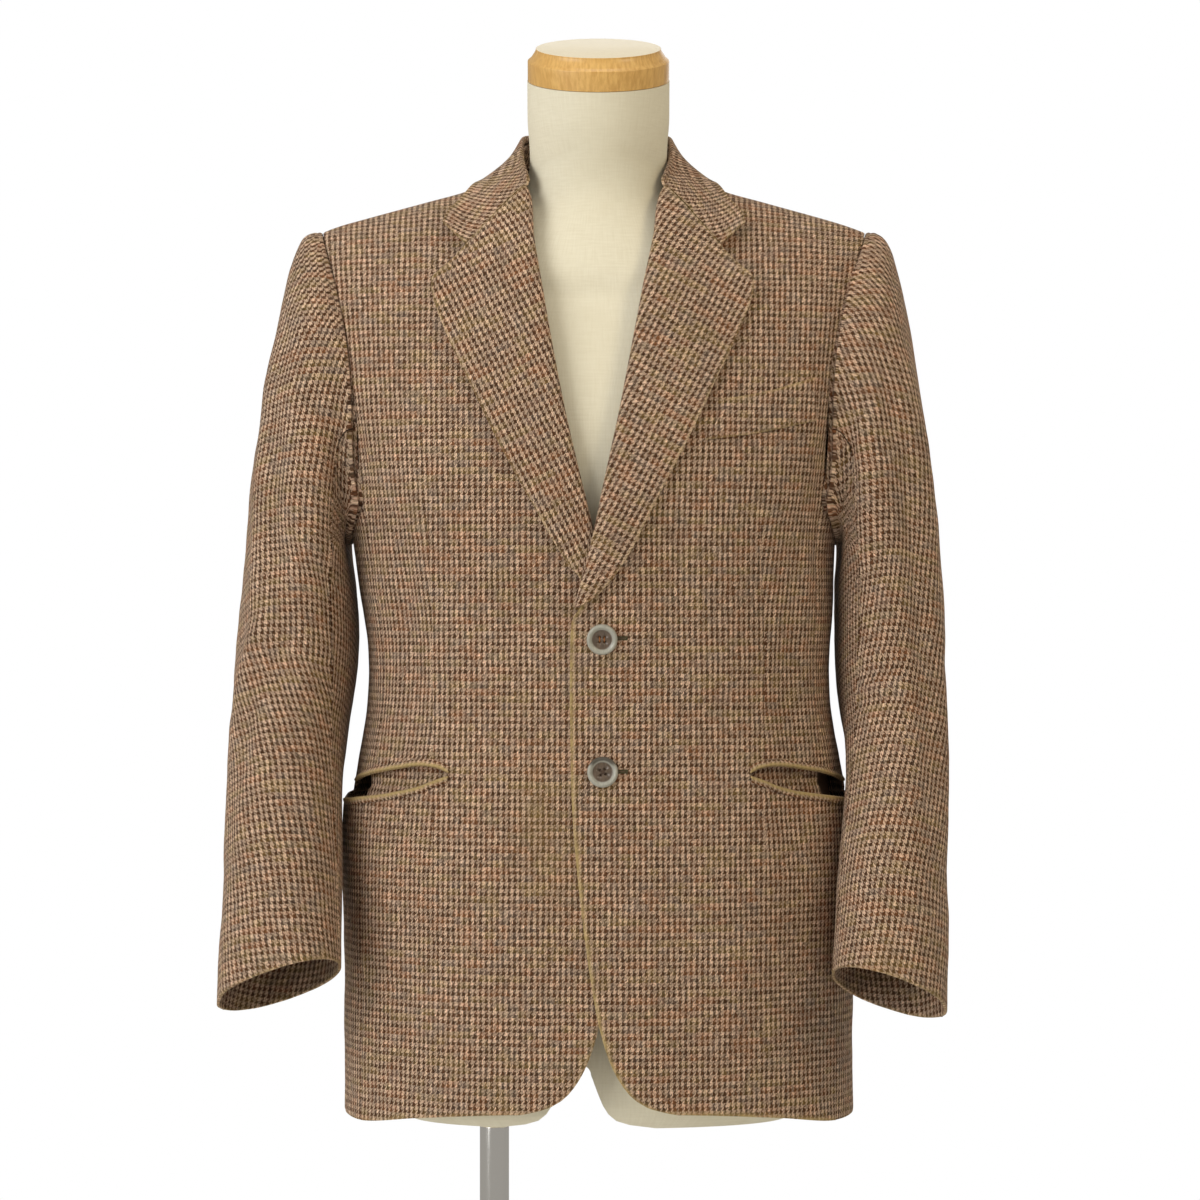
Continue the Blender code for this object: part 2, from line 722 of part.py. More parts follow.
def collar_end(share):
    """The collar's end on the left front, down the gorge to the notch and out to its tip."""
    gorge, tip = on_line(FOLD, 1.0), on_line(LEAF, 1.0)
    if share < NOTCH_SHARE:
        down = share / NOTCH_SHARE
        x, z = mix(gorge.x, NOTCH_X, down), mix(gorge.z, NOTCH_Z, down)
        z += CLEAR + COLLAR_LIFT * (1 - share) ** 4
    else:
        beyond = (share - NOTCH_SHARE) / (1 - NOTCH_SHARE)
        x, z = mix(NOTCH_X, tip.x, beyond), mix(NOTCH_Z, tip.z, beyond)
    laid = on_front(LEFT, x, z, LAYER)
    laid.x -= read(LEAN, "z", "shift", z)
    return Vector((gorge.x, gorge.y, z)).lerp(laid, step(share, 0.0, 0.3))


def collar_place(s, t):
    """Fall of the collar: s runs from gorge to gorge round the back, t over the fold and down."""
    u = 2 * s - 1
    side = LEFT if u >= 0 else RIGHT
    u = abs(u)
    row = round(t * (len(COLLAR_TURN) + len(COLLAR_SHARES) - 1)) - len(COLLAR_TURN)
    if row < 0:
        u *= 0.975
    fold, leaf = on_line(FOLD, u), on_line(LEAF, u)
    share = COLLAR_SHARES[max(row, 0)]
    point = fold.lerp(leaf, share)
    point.z -= 0.0022 * math.sin(math.pi * share) * step(u, 0.95, 0.5)
    if u > GORGE_FROM:
        straight = on_line(FOLD, 1.0).lerp(on_line(LEAF, 1.0), share)
        point += (collar_end(share) - straight) * step(u, GORGE_FROM, 1.0)
    face = height(point.x, point.y)
    slope_x = (height(point.x + 0.001, point.y) - face) / 0.001
    slope_y = (height(point.x, point.y + math.copysign(0.001, point.y)) - face) / 0.001
    layer = LAYER * min(math.sqrt(1 + slope_x**2 + slope_y**2), 2.4)
    if row >= 0:
        point.z = max(point.z, face + layer)
    else:  # over the fold and a little way down inside
        inward = Vector((-point.x, -(point.y + 0.004), 0)).normalized()
        across, up = COLLAR_TURN[row]
        point = point + inward * across + Vector((0, 0, up))
    return Vector((side * point.x + read(LEAN, "z", "shift", point.z), point.y, point.z))


def stand_place(s, t):
    """Stand of the collar, inside the fall, from the neck seam up."""
    u = (2 * s - 1) * STAND_END
    side = LEFT if u >= 0 else RIGHT
    u = abs(u)
    foot, fold = on_line(STAND_FOOT, u), on_line(FOLD, u)
    inward = Vector((-fold.x, -(fold.y + 0.004), 0)).normalized()
    top = fold + inward * 0.0030 + Vector((0, 0, -0.0056))
    point = foot.lerp(top, t)
    point.z += 0.0012 * (1 - t)
    return Vector((side * point.x + read(LEAN, "z", "shift", point.z), point.y, point.z))


def welt_place(s, t):
    top = (read(WELT, "s", "top_x", s), read(WELT, "s", "top_z", s))
    foot = (read(WELT, "s", "foot_x", s), read(WELT, "s", "foot_z", s))
    return on_front(LEFT, mix(foot[0], top[0], t), mix(foot[1], top[1], t), CLEAR + WELT_THICK)


def make_tailoring():
    cloth("lapel_l", 11, 13, lapel_place(LEFT))
    cloth("lapel_r", 11, 13, lapel_place(RIGHT), flip=True)
    cloth("collar_fall", 28, len(COLLAR_TURN) + len(COLLAR_SHARES) - 1, collar_place, wall=0.0016)
    cloth("collar_stand", 22, 3, stand_place, flip=True)
    cloth("breast_welt", 6, 2, welt_place, wall=WELT_THICK)


# ---------------------------------------------------------------- sleeves


def armhole_loop():
    """The armhole's edge, from the shoulder tip down the front and up the back."""
    front, back = [], []
    for level in [i / 24 for i in range(24, -1, -1)]:
        for points, is_back, column in ((front, False, "front"), (back, True, "back")):
            x, z = settle(0.18, level, is_back, lambda h: read(ARMHOLE, "z", column, h))
            points.append(body(angle_at(x, z, is_back), z))
    foot = []
    for i in range(1, 12):
        angle = mix(FRONT_SEAM, BACK_SEAM, i / 12)
        drop = (SPLIT_Z - ARMPIT_Z) * (1 - ((angle - 91.5) / 26.5) ** 2)
        foot.append(body(angle, SPLIT_Z - drop))
    return front + foot + back[::-1][:-1]


ARMHOLE_MIDDLE = Vector((0.1968, 0.0, 1.165))


def loop_by_turn():
    """The loop's points against their turn, in degrees from the top over the front."""
    found = []
    for point in armhole_loop():
        from_middle = point - ARMHOLE_MIDDLE
        turn = math.degrees(math.atan2(-from_middle.y, from_middle.z)) % 360
        found.append((turn, point))
    found.sort(key=lambda pair: pair[0])
    first, last = found[0], found[-1]
    found = [(last[0] - 360, last[1])] + found + [(first[0] + 360, first[1])]
    return table("turn x y z", *[(turn, *point) for turn, point in found])


def sleeve_point(side, turn, row):
    """Outer face of a sleeve: turn from the outermost point over the front, row from the armhole."""

    def column(name):
        return read(SLEEVE, "row", name, row)

    outer = Vector((column("out_x"), 0, column("out_z")))
    inner = Vector((column("in_x"), 0, column("in_z")))
    middle = (outer + inner) / 2
    half = (outer - inner) / 2
    fuller = 1 - side * SLEEVE_FULLNESS * step(row, 3, 8)
    angle = math.radians(turn)
    c, s = power(math.cos(angle), 2 / SLEEVE_ROUND), power(math.sin(angle), 2 / SLEEVE_ROUND)
    pitch = math.radians(column("pitch"))
    forward = Vector((0, -math.cos(pitch), math.sin(pitch))) * column("depth")
    point = middle + half * c * fuller + forward * s
    point.y += column("mid_y") - (FOREARM_FORWARD * step(row, 9, 13) if side == LEFT else 0)
    joined = column("joined")
    if joined > 0:
        loop = Vector([read(LOOP, "turn", name, turn % 360) for name in "xyz"])
        ends = step(loop.z, 1.235, 1.260) + step(loop.z, 1.085, 1.065)
        away = (loop - ARMHOLE_MIDDLE).normalized() * 0.0010 + Vector((0.0011 + 0.0010 * ends, 0, 0))
        loop = loop + away + (middle - LOOP_MIDDLE)
        point = point.lerp(loop, min(joined, 1.0))
    shift = read(LEAN, "z", "shift", max(point.z, 1.12)) - read(SLEEVE_SWING, "row", "shift", row)
    if c < 0 and row > 3:
        point.x = beside_body(point, side * (read(LEAN, "z", "shift", point.z) - shift))
    return Vector((side * point.x + shift, point.y, point.z))


def beside_body(point, shift):
    """Where the sleeve's inner face is, as it lies against the side of the jacket."""
    name = "back" if point.y > 0 else "front"
    share = min(abs(point.y) / read(SECTION, "z", name, point.z), 1.0) ** SECTION_ROUND
    limit = read(SECTION, "z", "width", point.z) * (1 - share) ** (1 / SECTION_ROUND)
    limit += SLEEVE_CLEAR + shift
    limit += (GAPE + JET_THICK) * math.exp(-(((point.z - 0.852) / 0.075) ** 2))
    past = point.x - limit
    return limit + 0.5 * (past + math.hypot(past, 0.003))


LAST_ROW = SLEEVE["row"][-1]
LOOP_MIDDLE = Vector(
    ((SLEEVE["out_x"][0] + SLEEVE["in_x"][0]) / 2, 0, (SLEEVE["out_z"][0] + SLEEVE["in_z"][0]) / 2)
)


def sleeve_place(side, upper):
    def place(s, t):
        row = t * (LAST_ROW - (SLEEVE_SHORT if side == RIGHT else 0))
        s = narrow_ends(s) if upper else UNDER_SHARES[round(s * (len(UNDER_SHARES) - 1))]
        twist = read(SEAM_TWIST, "row", "turn", row)
        inseam, elbow = INSEAM + twist, ELBOW_SEAM + twist
        if upper:
            turn = mix(elbow - 360 + SLEEVE_SEAM, inseam - SLEEVE_SEAM, s)
        else:
            turn = mix(inseam + SLEEVE_SEAM, elbow - SLEEVE_SEAM, s)
        return sleeve_point(side, turn, row)

    return place


def make_sleeves():
    for side, mark in ((LEFT, "l"), (RIGHT, "r")):
        flip = side == LEFT
        cloth(f"upper_sleeve_{mark}", 12, 17, sleeve_place(side, True), flip=flip)
        columns = len(UNDER_SHARES) - 1
        cloth(f"under_sleeve_{mark}", columns, 17, sleeve_place(side, False), flip=flip)


# ---------------------------------------------------------------- buttons


def button(name, radius, thick, where, normal, finish):
    """A turned button with a raised rim, standing clear on its place."""
    profile = [
        (0.0, 0.0),
        (0.82 * radius, 0.0),
        (radius, 0.50 * thick),
        (0.92 * radius, 0.96 * thick),
        (0.76 * radius, 0.96 * thick),
        (0.64 * radius, 0.50 * thick),
        (0.0, 0.46 * thick),
    ]
    bm = bmesh.new()
    verts = [bm.verts.new((r, 0, h)) for r, h in profile]
    edges = [bm.edges.new(pair) for pair in zip(verts, verts[1:])]
    bmesh.ops.spin(
        bm,
        geom=verts + edges,
        axis=(0, 0, 1),
        cent=(0, 0, 0),
        angle=2 * math.pi,
        steps=16 if radius > 0.01 else 12,
        use_merge=True,
    )
    bmesh.ops.remove_doubles(bm, verts=bm.verts, dist=1e-5)
    bmesh.ops.recalc_face_normals(bm, faces=bm.faces)
    turn = normal.to_track_quat("Z", "Y").to_matrix().to_4x4()
    bm.transform(Matrix.Translation(where + normal * CLEAR) @ turn)
    return add(name, bm, finish, GARMENT)


def face_normal(place, a, b, reach):
    """Normal of a surface place(a, b) by finite differences."""
    across = place(a + reach[0], b) - place(a - reach[0], b)
    along = place(a, b + reach[1]) - place(a, b - reach[1])
    return across.cross(along).normalized()


def make_buttons():
    for i, z in enumerate(BUTTON_HEIGHTS):
        where = on_front(LEFT, BUTTON_X, z)
        normal = face_normal(lambda x, h: on_front(LEFT, x, h), BUTTON_X, z, (0.008, 0.008))
        where += normal * BUTTON_LIFT
        button(f"front_button_{i + 1}", BUTTON_RADIUS, BUTTON_THICK, where, normal, "horn")
    for side, mark in ((LEFT, "l"), (RIGHT, "r")):
        for i, row in enumerate(CUFF_BUTTON_ROWS):
            turn = ELBOW_SEAM + read(SEAM_TWIST, "row", "turn", row) - 360 + 12.5

            def place(a, b):
                return sleeve_point(side, a, b)

            normal = face_normal(place, turn, row, (2.0, 0.1)) * -side
            where = place(turn, row) + normal * CUFF_BUTTON_LIFT
            name = f"cuff_button_{mark}_{i + 1}"
            button(name, CUFF_BUTTON_RADIUS, CUFF_BUTTON_THICK, where, normal, "dark horn")


# ---------------------------------------------------------------- the form and its stand


def torso_reach(direction, z):
    """Distance from the axis to the form's torso along a direction (x, y) at a height."""
    back = direction[1] > 0
    base, roundness = (BLADE_Z, BLADE_ROUND) if back else (CHEST_Z, CHEST_ROUND)
    width = read(FORM, "z", "width", z)
    depth = read(FORM, "z", "back" if back else "front", z)

    def inside(r):
        x, y = abs(direction[0]) * r, abs(direction[1]) * r
        top = min(read(SHOULDER, "x", "back" if back else "front", x) - WALL - FORM_GAP, FORM_TOP)
        if z >= top or x >= width:
            return False
        rise = min(max((z - base) / (top - base), 0.0), 1.0)
        drawn = depth * (1 - rise**roundness) ** (1 / roundness)
        return (x / width) ** SECTION_ROUND + (y / max(drawn, 1e-6)) ** SECTION_ROUND < 1

    low, high = 0.0, 0.30
    for _ in range(40):
        middle = (low + high) / 2
        if inside(middle):
            low = middle
        else:
            high = middle
    return low


def neck_middle(z):
    return Vector((-0.0004, 0.0030 - max(z - 1.300, 0.0) * math.tan(NECK_TILT), z))


def neck_reach(direction, z):
    """Distance to the leaning neck, which flares into the shoulders."""
    flare = 1 + 0.14 * step(z, 1.322, 1.270)
    radius = NECK_RADIUS * flare
    deep = radius / math.cos(NECK_TILT)
    return radius * deep / math.hypot(direction[0] * deep, direction[1] * radius)


FORM_LEVELS = [
    0.605, 0.608, 0.616, 0.632, 0.66, 0.71, 0.77, 0.83, 0.87, 0.91, 0.95, 1.00, 1.05, 1.09,
    1.12, 1.16, 1.20, 1.232, 1.252, 1.266, 1.277, 1.286, 1.294, 1.301, 1.3065, 1.315, 1.330,
]  # fmt: skip
FOOT_ROUND = {0.605: 0.90, 0.608: 0.955, 0.616: 0.985}
NECK_RINGS = ((1.345, 0.25), (1.360, 0.60), (1.376, 0.85), (NECK_TOP_Z, 1.0))
FORM_SIDES = 34
NECK_BLEND = 9.0  # how tightly the neck runs into the shoulders


def form_ring(z):
    """Points round the torso, or round torso and neck together, at one height."""
    width = read(FORM, "z", "width", z)
    points = []
    for i in range(FORM_SIDES):
        turn = 2 * math.pi * i / FORM_SIDES
        x = width * power(math.sin(turn), 2 / SECTION_ROUND)
        y = -read(FORM, "z", "front", z) * power(math.cos(turn), 2 / SECTION_ROUND)
        if z > 1.24:
            y *= mix(1.0, 0.45, step(z, 1.24, 1.30))
        direction = Vector((x, y)).normalized()
        torso = torso_reach(direction, z) * FOOT_ROUND.get(z, 1.0)
        neck = neck_reach(direction, z) if z > 1.24 else 0.0
        high = max(torso, neck)
        if neck > 0 and torso > 0:
            high = (torso**NECK_BLEND + neck**NECK_BLEND) ** (1 / NECK_BLEND)
        lean = read(LEAN, "z", "shift", z) * step(z, 1.33, 1.20)
        middle = neck_middle(z)
        share = step(z, 1.24, 1.31)
        x0 = mix(lean, middle.x, share)
        y0 = middle.y * step(z, 1.29, 1.33)
        points.append(Vector((x0 + direction[0] * high, y0 + direction[1] * high, z)))
    return points


def neck_ring(z, tilt_share):
    tilt = NECK_TILT * tilt_share
    middle = neck_middle(z)
    points = []
    for i in range(FORM_SIDES):
        turn = 2 * math.pi * i / FORM_SIDES
        radius = NECK_RADIUS + NECK_SWELL * step(tilt_share, 0.0, 0.6)
        x, y = radius * math.sin(turn), -radius * math.cos(turn)
        deep = y / math.cos(NECK_TILT - tilt)
        points.append(middle + Vector((x, deep * math.cos(tilt), deep * math.sin(tilt))))
    return points


def make_form():
    rings = [form_ring(z) for z in FORM_LEVELS] + [neck_ring(z, share) for z, share in NECK_RINGS]
    bm = bmesh.new()
    loops = []
    for ring in rings:
        verts = [bm.verts.new(point) for point in ring]
        loops.append([bm.edges.new((verts[i - 1], verts[i])) for i in range(FORM_SIDES)])
        if ring is rings[0] or ring is rings[-1]:
            bm.faces.new(verts)
    for low, high in zip(loops, loops[1:]):
        for a, b in zip(low, high):
            bm.faces.new((a.verts[0], a.verts[1], b.verts[1], b.verts[0]))
    bmesh.ops.recalc_face_normals(bm, faces=bm.faces)
    form = add("dress_form", bm, "linen", STAND)

    arch = bmesh.new()
    outline = crotch_outline()
    face = arch.faces.new([arch.verts.new((x, -0.2, z)) for x, z in outline])
    made = bmesh.ops.extrude_face_region(arch, geom=[face])
    moved = [v for v in made["geom"] if isinstance(v, bmesh.types.BMVert)]
    bmesh.ops.translate(arch, verts=moved, vec=(0, 0.4, 0))
    bmesh.ops.recalc_face_normals(arch, faces=arch.faces)
    cutter = add("crotch_arch", arch, "linen", CUTTERS)
    cutter.display_type = "WIRE"
    cutter.hide_render = True
    cut = form.modifiers.new("Crotch", "BOOLEAN")
    cut.operation = "DIFFERENCE"
    cut.object = cutter


def crotch_outline():
    """An arch between the thigh stubs that flares out at their feet."""
    points = []
    for i in range(9):  # the rounded top
        turn = math.pi * i / 8
        points.append((CROTCH_X + 0.0100 * math.cos(turn), CROTCH_TOP - 0.008 + 0.008 * math.sin(turn)))
    flare = list(zip(CROTCH_FLARE["x"], CROTCH_FLARE["z"]))
    left = [(CROTCH_X - x, z) for x, z in flare]
    right = [(CROTCH_X + x, z) for x, z in flare]
    return points + left + right[::-1]


def tilted(point, z):
    """Moves a piece made upright at the origin onto the neck's leaning top."""
    lean = Matrix.Rotation(NECK_TILT, 4, "X")
    return Matrix.Translation(point) @ lean @ Matrix.Translation((0, 0, z))


def turned(name, profile, steps, finish):
    """A solid turned round Z from (radius, height) pairs that start and end on the axis."""
    bm = bmesh.new()
    verts = [bm.verts.new((r, 0, h)) for r, h in profile]
    edges = [bm.edges.new(pair) for pair in zip(verts, verts[1:])]
    bmesh.ops.spin(
        bm,
        geom=verts + edges,
        axis=(0, 0, 1),
        cent=(0, 0, 0),
        angle=2 * math.pi,
        steps=steps,
        use_merge=True,
    )
    bmesh.ops.remove_doubles(bm, verts=bm.verts, dist=1e-5)
    bmesh.ops.recalc_face_normals(bm, faces=bm.faces)
    return add(name, bm, finish, STAND)


def make_stand():
    cap = turned(
        "neck_cap",
        [
            (0.0, 0.0),
            (CAP_RADIUS, 0.0),
            (CAP_RADIUS, CAP_BAND),
            (CAP_RADIUS - CAP_SLOPE * 0.45, CAP_BAND + CAP_BEVEL * 0.75),
            (CAP_RADIUS - CAP_SLOPE, CAP_BAND + CAP_BEVEL),
            (0.0, CAP_BAND + CAP_BEVEL),
        ],
        36,
        "wood",
    )
    cap.data.transform(tilted(neck_middle(NECK_TOP_Z), CLEAR))

    top = FORM_BOTTOM - CLEAR
    socket = turned(
        "pole_socket",
        [
            (0.0, top - SOCKET_HEIGHT),
            (SOCKET_FOOT_RADIUS, top - SOCKET_HEIGHT),
            (SOCKET_TOP_RADIUS, top - 0.35 * SOCKET_HEIGHT),
            (SOCKET_TOP_RADIUS, top),
            (0.0, top),
        ],
        24,
        "wood",
    )
    pole_top = top - SOCKET_HEIGHT - CLEAR
    pole = turned(
        "pole",
        [
            (0.0, BASE_THICK + CLEAR),
            (POLE_RADIUS, BASE_THICK + CLEAR),
            (POLE_RADIUS, pole_top),
            (0.0, pole_top),
        ],
        24,
        "chrome",
    )
    for piece in (socket, pole):
        piece.location.x = POLE_X
    turned(
        "base_plate",
        [
            (0.0, 0.0),
            (BASE_RADIUS - 0.002, 0.0),
            (BASE_RADIUS, 0.002),
            (BASE_RADIUS, BASE_THICK - 0.004),
            (BASE_RADIUS - 0.004, BASE_THICK),
            (0.0, BASE_THICK),
        ],
        40,
        "painted steel",
    )


# ---------------------------------------------------------------- the whole

for old in list(bpy.data.objects):
    bpy.data.objects.remove(old, do_unlink=True)

GARMENT = collection("tweed hacking jacket")
STAND = collection("dress form")
CUTTERS = collection("cutters", hidden=True)
LOOP = loop_by_turn()

make_panels()
make_pockets()
make_tailoring()
make_sleeves()
make_buttons()
make_form()
make_stand()
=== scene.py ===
"""Looks of a tweed hacking jacket on a limbless dress form, built around the packed frame.

Metres, +Z up, +X the wearer's left, -Y the front. Each cloth piece is a thin shell on the form of its
solid.
"""

import bisect
import math

import bmesh
import bpy
from bpy.props import FloatProperty, FloatVectorProperty, PointerProperty
from mathutils import Matrix, Vector, noise


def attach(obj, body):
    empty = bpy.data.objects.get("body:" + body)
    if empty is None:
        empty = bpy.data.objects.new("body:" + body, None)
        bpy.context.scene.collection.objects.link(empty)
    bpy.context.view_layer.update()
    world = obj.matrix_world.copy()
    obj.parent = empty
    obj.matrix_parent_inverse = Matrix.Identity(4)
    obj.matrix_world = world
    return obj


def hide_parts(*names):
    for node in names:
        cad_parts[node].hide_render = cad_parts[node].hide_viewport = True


bl_info = {
    "name": "Tweed hacking jacket",
    "version": (1, 0, 0),
    "blender": (4, 5, 0),
    "location": "View3D > Sidebar > Jacket",
    "description": "A tailored tweed jacket on a linen dress form",
    "category": "Object",
}

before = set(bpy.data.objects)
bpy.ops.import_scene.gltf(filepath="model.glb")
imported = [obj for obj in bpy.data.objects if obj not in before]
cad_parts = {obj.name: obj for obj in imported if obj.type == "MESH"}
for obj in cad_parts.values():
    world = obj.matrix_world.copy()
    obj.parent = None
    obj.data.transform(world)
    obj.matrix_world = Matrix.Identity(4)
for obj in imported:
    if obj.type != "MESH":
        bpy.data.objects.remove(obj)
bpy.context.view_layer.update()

LEFT, RIGHT = 1, -1  # the wearer's sides
SIDES = ((LEFT, "l"), (RIGHT, "r"))

# ---- measures shared with the solids

WALL = 0.0020
SEAM = 0.0001  # each side of a seam stops this far short of it
LAYER = 0.0042  # outer face of a turned-over layer, above the cloth it lies on
SECTION_ROUND = 2.3
CHEST_Z, CHEST_ROUND = 1.060, 1.8
BLADE_Z, BLADE_ROUND = 1.100, 2.2
SPLIT_Z, ARMPIT_Z = 1.072, 1.045
FRONT_SEAM, BACK_SEAM = 65.0, 118.0
VENT_TOP, VENT_LAP = 0.855, 0.035
BACK_NECK_LEVEL = 0.712
BUTTON_HEIGHTS, BUTTON_X = (0.9715, 0.8727), 0.0023
CUFF_BUTTON_ROWS = (14.95, 15.40)
NECK_TILT = math.radians(17.0)
NECK_RADIUS, NECK_SWELL, NECK_TOP_Z = 0.0526, 0.0016, 1.396
CAP_RADIUS, CAP_BAND, CAP_BEVEL, CAP_SLOPE = 0.0539, 0.0150, 0.0095, 0.0062
FORM_GAP, FORM_TOP = 0.0015, 1.3075
CROTCH_X, CROTCH_TOP, FORM_BOTTOM = -0.016, 0.655, 0.605
POLE_X, POLE_RADIUS = -0.0804, 0.0112
SOCKET_TOP_RADIUS, SOCKET_FOOT_RADIUS, SOCKET_HEIGHT = 0.0175, 0.0145, 0.0085
BASE_RADIUS, BASE_THICK = 0.180, 0.012
CLEAR = 0.0003
ROLL_START, ROLL_END = 0.9850, 1.3130
ROLL_INSET = 0.0039
RIGHT_LAPEL_START = 0.105
NOTCH_X, NOTCH_Z, NOTCH_SHARE = 0.0942, 1.2655, 0.70
STAND_END = 0.80
GORGE_FROM, GORGE_EASE, COLLAR_LIFT = 0.74, 0.0018, 0.0048  # lapel and collar keep apart at the gorge
GAPE, GAPE_BELOW, GAPE_ABOVE = 0.0065, 0.070, 0.008
JET_WIDTH, JET_THICK = 0.0042, 0.0016
FLAP_DROP, FLAP_DEPTH = 0.020, 0.0068
WELT_THICK = 0.0016
SLEEVE_ROUND, SLEEVE_SHORT, SLEEVE_FULLNESS, SLEEVE_CLEAR = 2.15, 0.13, 0.04, 0.0037
FOREARM_FORWARD = 0.008
INSEAM, ELBOW_SEAM = 118.0, 285.0
ARMHOLE_MIDDLE = Vector((0.1968, 0.0, 1.165))
DART_X, DART_LOW, DART_WAIST, DART_TOP, DART_TAKE = 0.1238, 0.875, 0.955, 1.085, 0.011

# ---- measures of the looks alone

UP = Vector((0, 0, 1))
SEAM_SINK, SEAM_SOFT = 0.0007, 0.0026  # how deep and how wide the cloth dips along a sewn seam
SEAM_ANGLE = math.degrees(SEAM / 0.16)  # the same as SEAM, in degrees round the body
DEGREE, EDGE_DEGREE = 0.0028, 0.0031  # metres in a degree round the body: at the seams, at the middle
HIGH_LENGTH = 0.19  # metres of cloth from the split to the shoulder line
BODY_RADIUS, SLEEVE_RADIUS, ROW_LENGTH = 0.165, 0.057, 0.042  # for the place of a fold on the cloth
FOLD_STRENGTH, FOLD_FAR_ACROSS, FOLD_FAR_ALONG = 1.3, 0.16, 0.30
SLOT_FROM, SLOT_TO = 33.0, 88.0  # angles between which a hip pocket is open
LEVEL_BELOW = 1.12  # above this height the weave takes up the way over the shoulder
LEVEL_ROW = 6.5  # the same for a sleeve: its weave is level below this row
SIDE_GRAIN, STAND_GRAIN = 0.205, -0.15  # where the check starts on a side panel and the collar's stand
FLAP_ENDS = {LEFT: 63.5, RIGHT: 71.0}
FLAP_TUCK = 0.010  # how far a flap goes up behind the slot's upper edge
SMALLEST_SHEET, SHEET_MARGIN = 0.010, 0.002
FORM_SIDES = 112


def table(names, *rows):
    """A short table as named columns."""
    return {name: [row[i] for row in rows] for i, name in enumerate(names.split())}


# half-width and depths of the jacket, bottom to top
SECTION = table(
    "z width front back",
    (0.600, 0.1950, 0.128, 0.124), (0.700, 0.1950, 0.130, 0.128), (0.780, 0.1950, 0.129, 0.125),
    (0.845, 0.1900, 0.126, 0.115), (0.880, 0.1845, 0.123, 0.107), (0.915, 0.1785, 0.120, 0.100),
    (0.950, 0.1768, 0.119, 0.097), (1.000, 0.1812, 0.122, 0.101), (1.055, 0.1870, 0.128, 0.110),
    (1.100, 0.1990, 0.131, 0.117), (1.150, 0.2110, 0.132, 0.122), (1.200, 0.2215, 0.131, 0.123),
    (1.260, 0.2310, 0.129, 0.123), (1.340, 0.2360, 0.127, 0.122),
)
# height of the shoulder line, centre to sleeve
SHOULDER = table(
    "x front back",
    (0.000, 1.3350, 1.3500), (0.030, 1.3345, 1.3470), (0.055, 1.3305, 1.3380),
    (0.078, 1.3225, 1.3230), (0.093, 1.3165, 1.3165), (0.104, 1.3125, 1.3125),
    (0.127, 1.3063, 1.3063), (0.149, 1.3003, 1.3003), (0.172, 1.2940, 1.2940),
    (0.193, 1.2880, 1.2880), (0.2085, 1.2825, 1.2825), (0.240, 1.2680, 1.2680),
)
# the shoulders hang a little to the wearer's right
LEAN = table(
    "z shift",
    (0.600, 0.0000), (0.970, 0.0000), (1.050, -0.0037), (1.150, -0.0050), (1.250, -0.0045),
    (1.340, -0.0020),
)
HEM = table(
    "angle z",
    (0, 0.6205), (20, 0.6195), (40, 0.6150), (60, 0.6088), (75, 0.6085), (90, 0.6120),
    (120, 0.6210), (150, 0.6290), (180, 0.6320),
)
# inner edge of a front: cutaway, edge, then the roll line to the neck
FRONT_EDGE = table(
    "z x",
    (0.6180, 0.0750), (0.6195, 0.0620), (0.6225, 0.0470), (0.6275, 0.0330), (0.6370, 0.0213),
    (0.6555, 0.0098), (0.6830, 0.0007), (0.7220, -0.0066), (0.7770, -0.0140), (0.8430, -0.0200),
    (0.9100, -0.0215), (0.9600, -0.0212), (0.9850, -0.0195), (0.9960, -0.0160), (1.0150, -0.0098),
    (1.0478, 0.0000), (1.0810, 0.0078), (1.1326, 0.0195), (1.1627, 0.0255), (1.2000, 0.0325),
    (1.2300, 0.0378), (1.2700, 0.0452), (1.3130, 0.0520), (1.3255, 0.0700),
)
ARMHOLE = table(
    "z front back",
    (1.072, 0.1756, 0.1715), (1.086, 0.1785, 0.1768), (1.100, 0.1802, 0.1812),
    (1.130, 0.1815, 0.1850), (1.155, 0.1820, 0.1870), (1.200, 0.1868, 0.1925),
    (1.240, 0.1960, 0.2000), (1.2825, 0.2085, 0.2085),
)
# a lapel's rows, from the break up to the gorge: its roll line and its edge
LAPEL = table(
    "t roll_z edge_x edge_z",
    (0.00, 0.9960, -0.0100, 0.9975), (0.08, 1.0150, 0.0040, 1.0080), (0.18, 1.0478, 0.0235, 1.0330),
    (0.28, 1.0810, 0.0420, 1.0670), (0.43, 1.1326, 0.0690, 1.1170), (0.60, 1.1850, 0.0925, 1.1660),
    (0.74, 1.2300, 0.1082, 1.1985), (0.87, 1.2700, 0.1172, 1.2230), (1.00, 1.3130, 0.1188, 1.2378),
)
# the lapel's section: out from the roll line, and above the front
ROLL = table(
    "s out up",
    (0.00, 0.0009, -0.0021), (0.06, -0.0007, -0.0008), (0.12, -0.0012, 0.0012),
    (0.19, 0.0004, 0.0034), (0.28, 0.0036, 0.0047), (0.40, 0.0090, 0.0050),
)
# how far the left front stands off, over the right one and its lapel
OVERLAP = table(
    "z lift",
    (0.600, 0.0028), (0.930, 0.0028), (0.965, 0.0042), (0.990, 0.0068), (1.010, 0.0074),
    (1.042, 0.0074), (1.065, 0.0052), (1.095, 0.0016), (1.120, 0.0000),
)
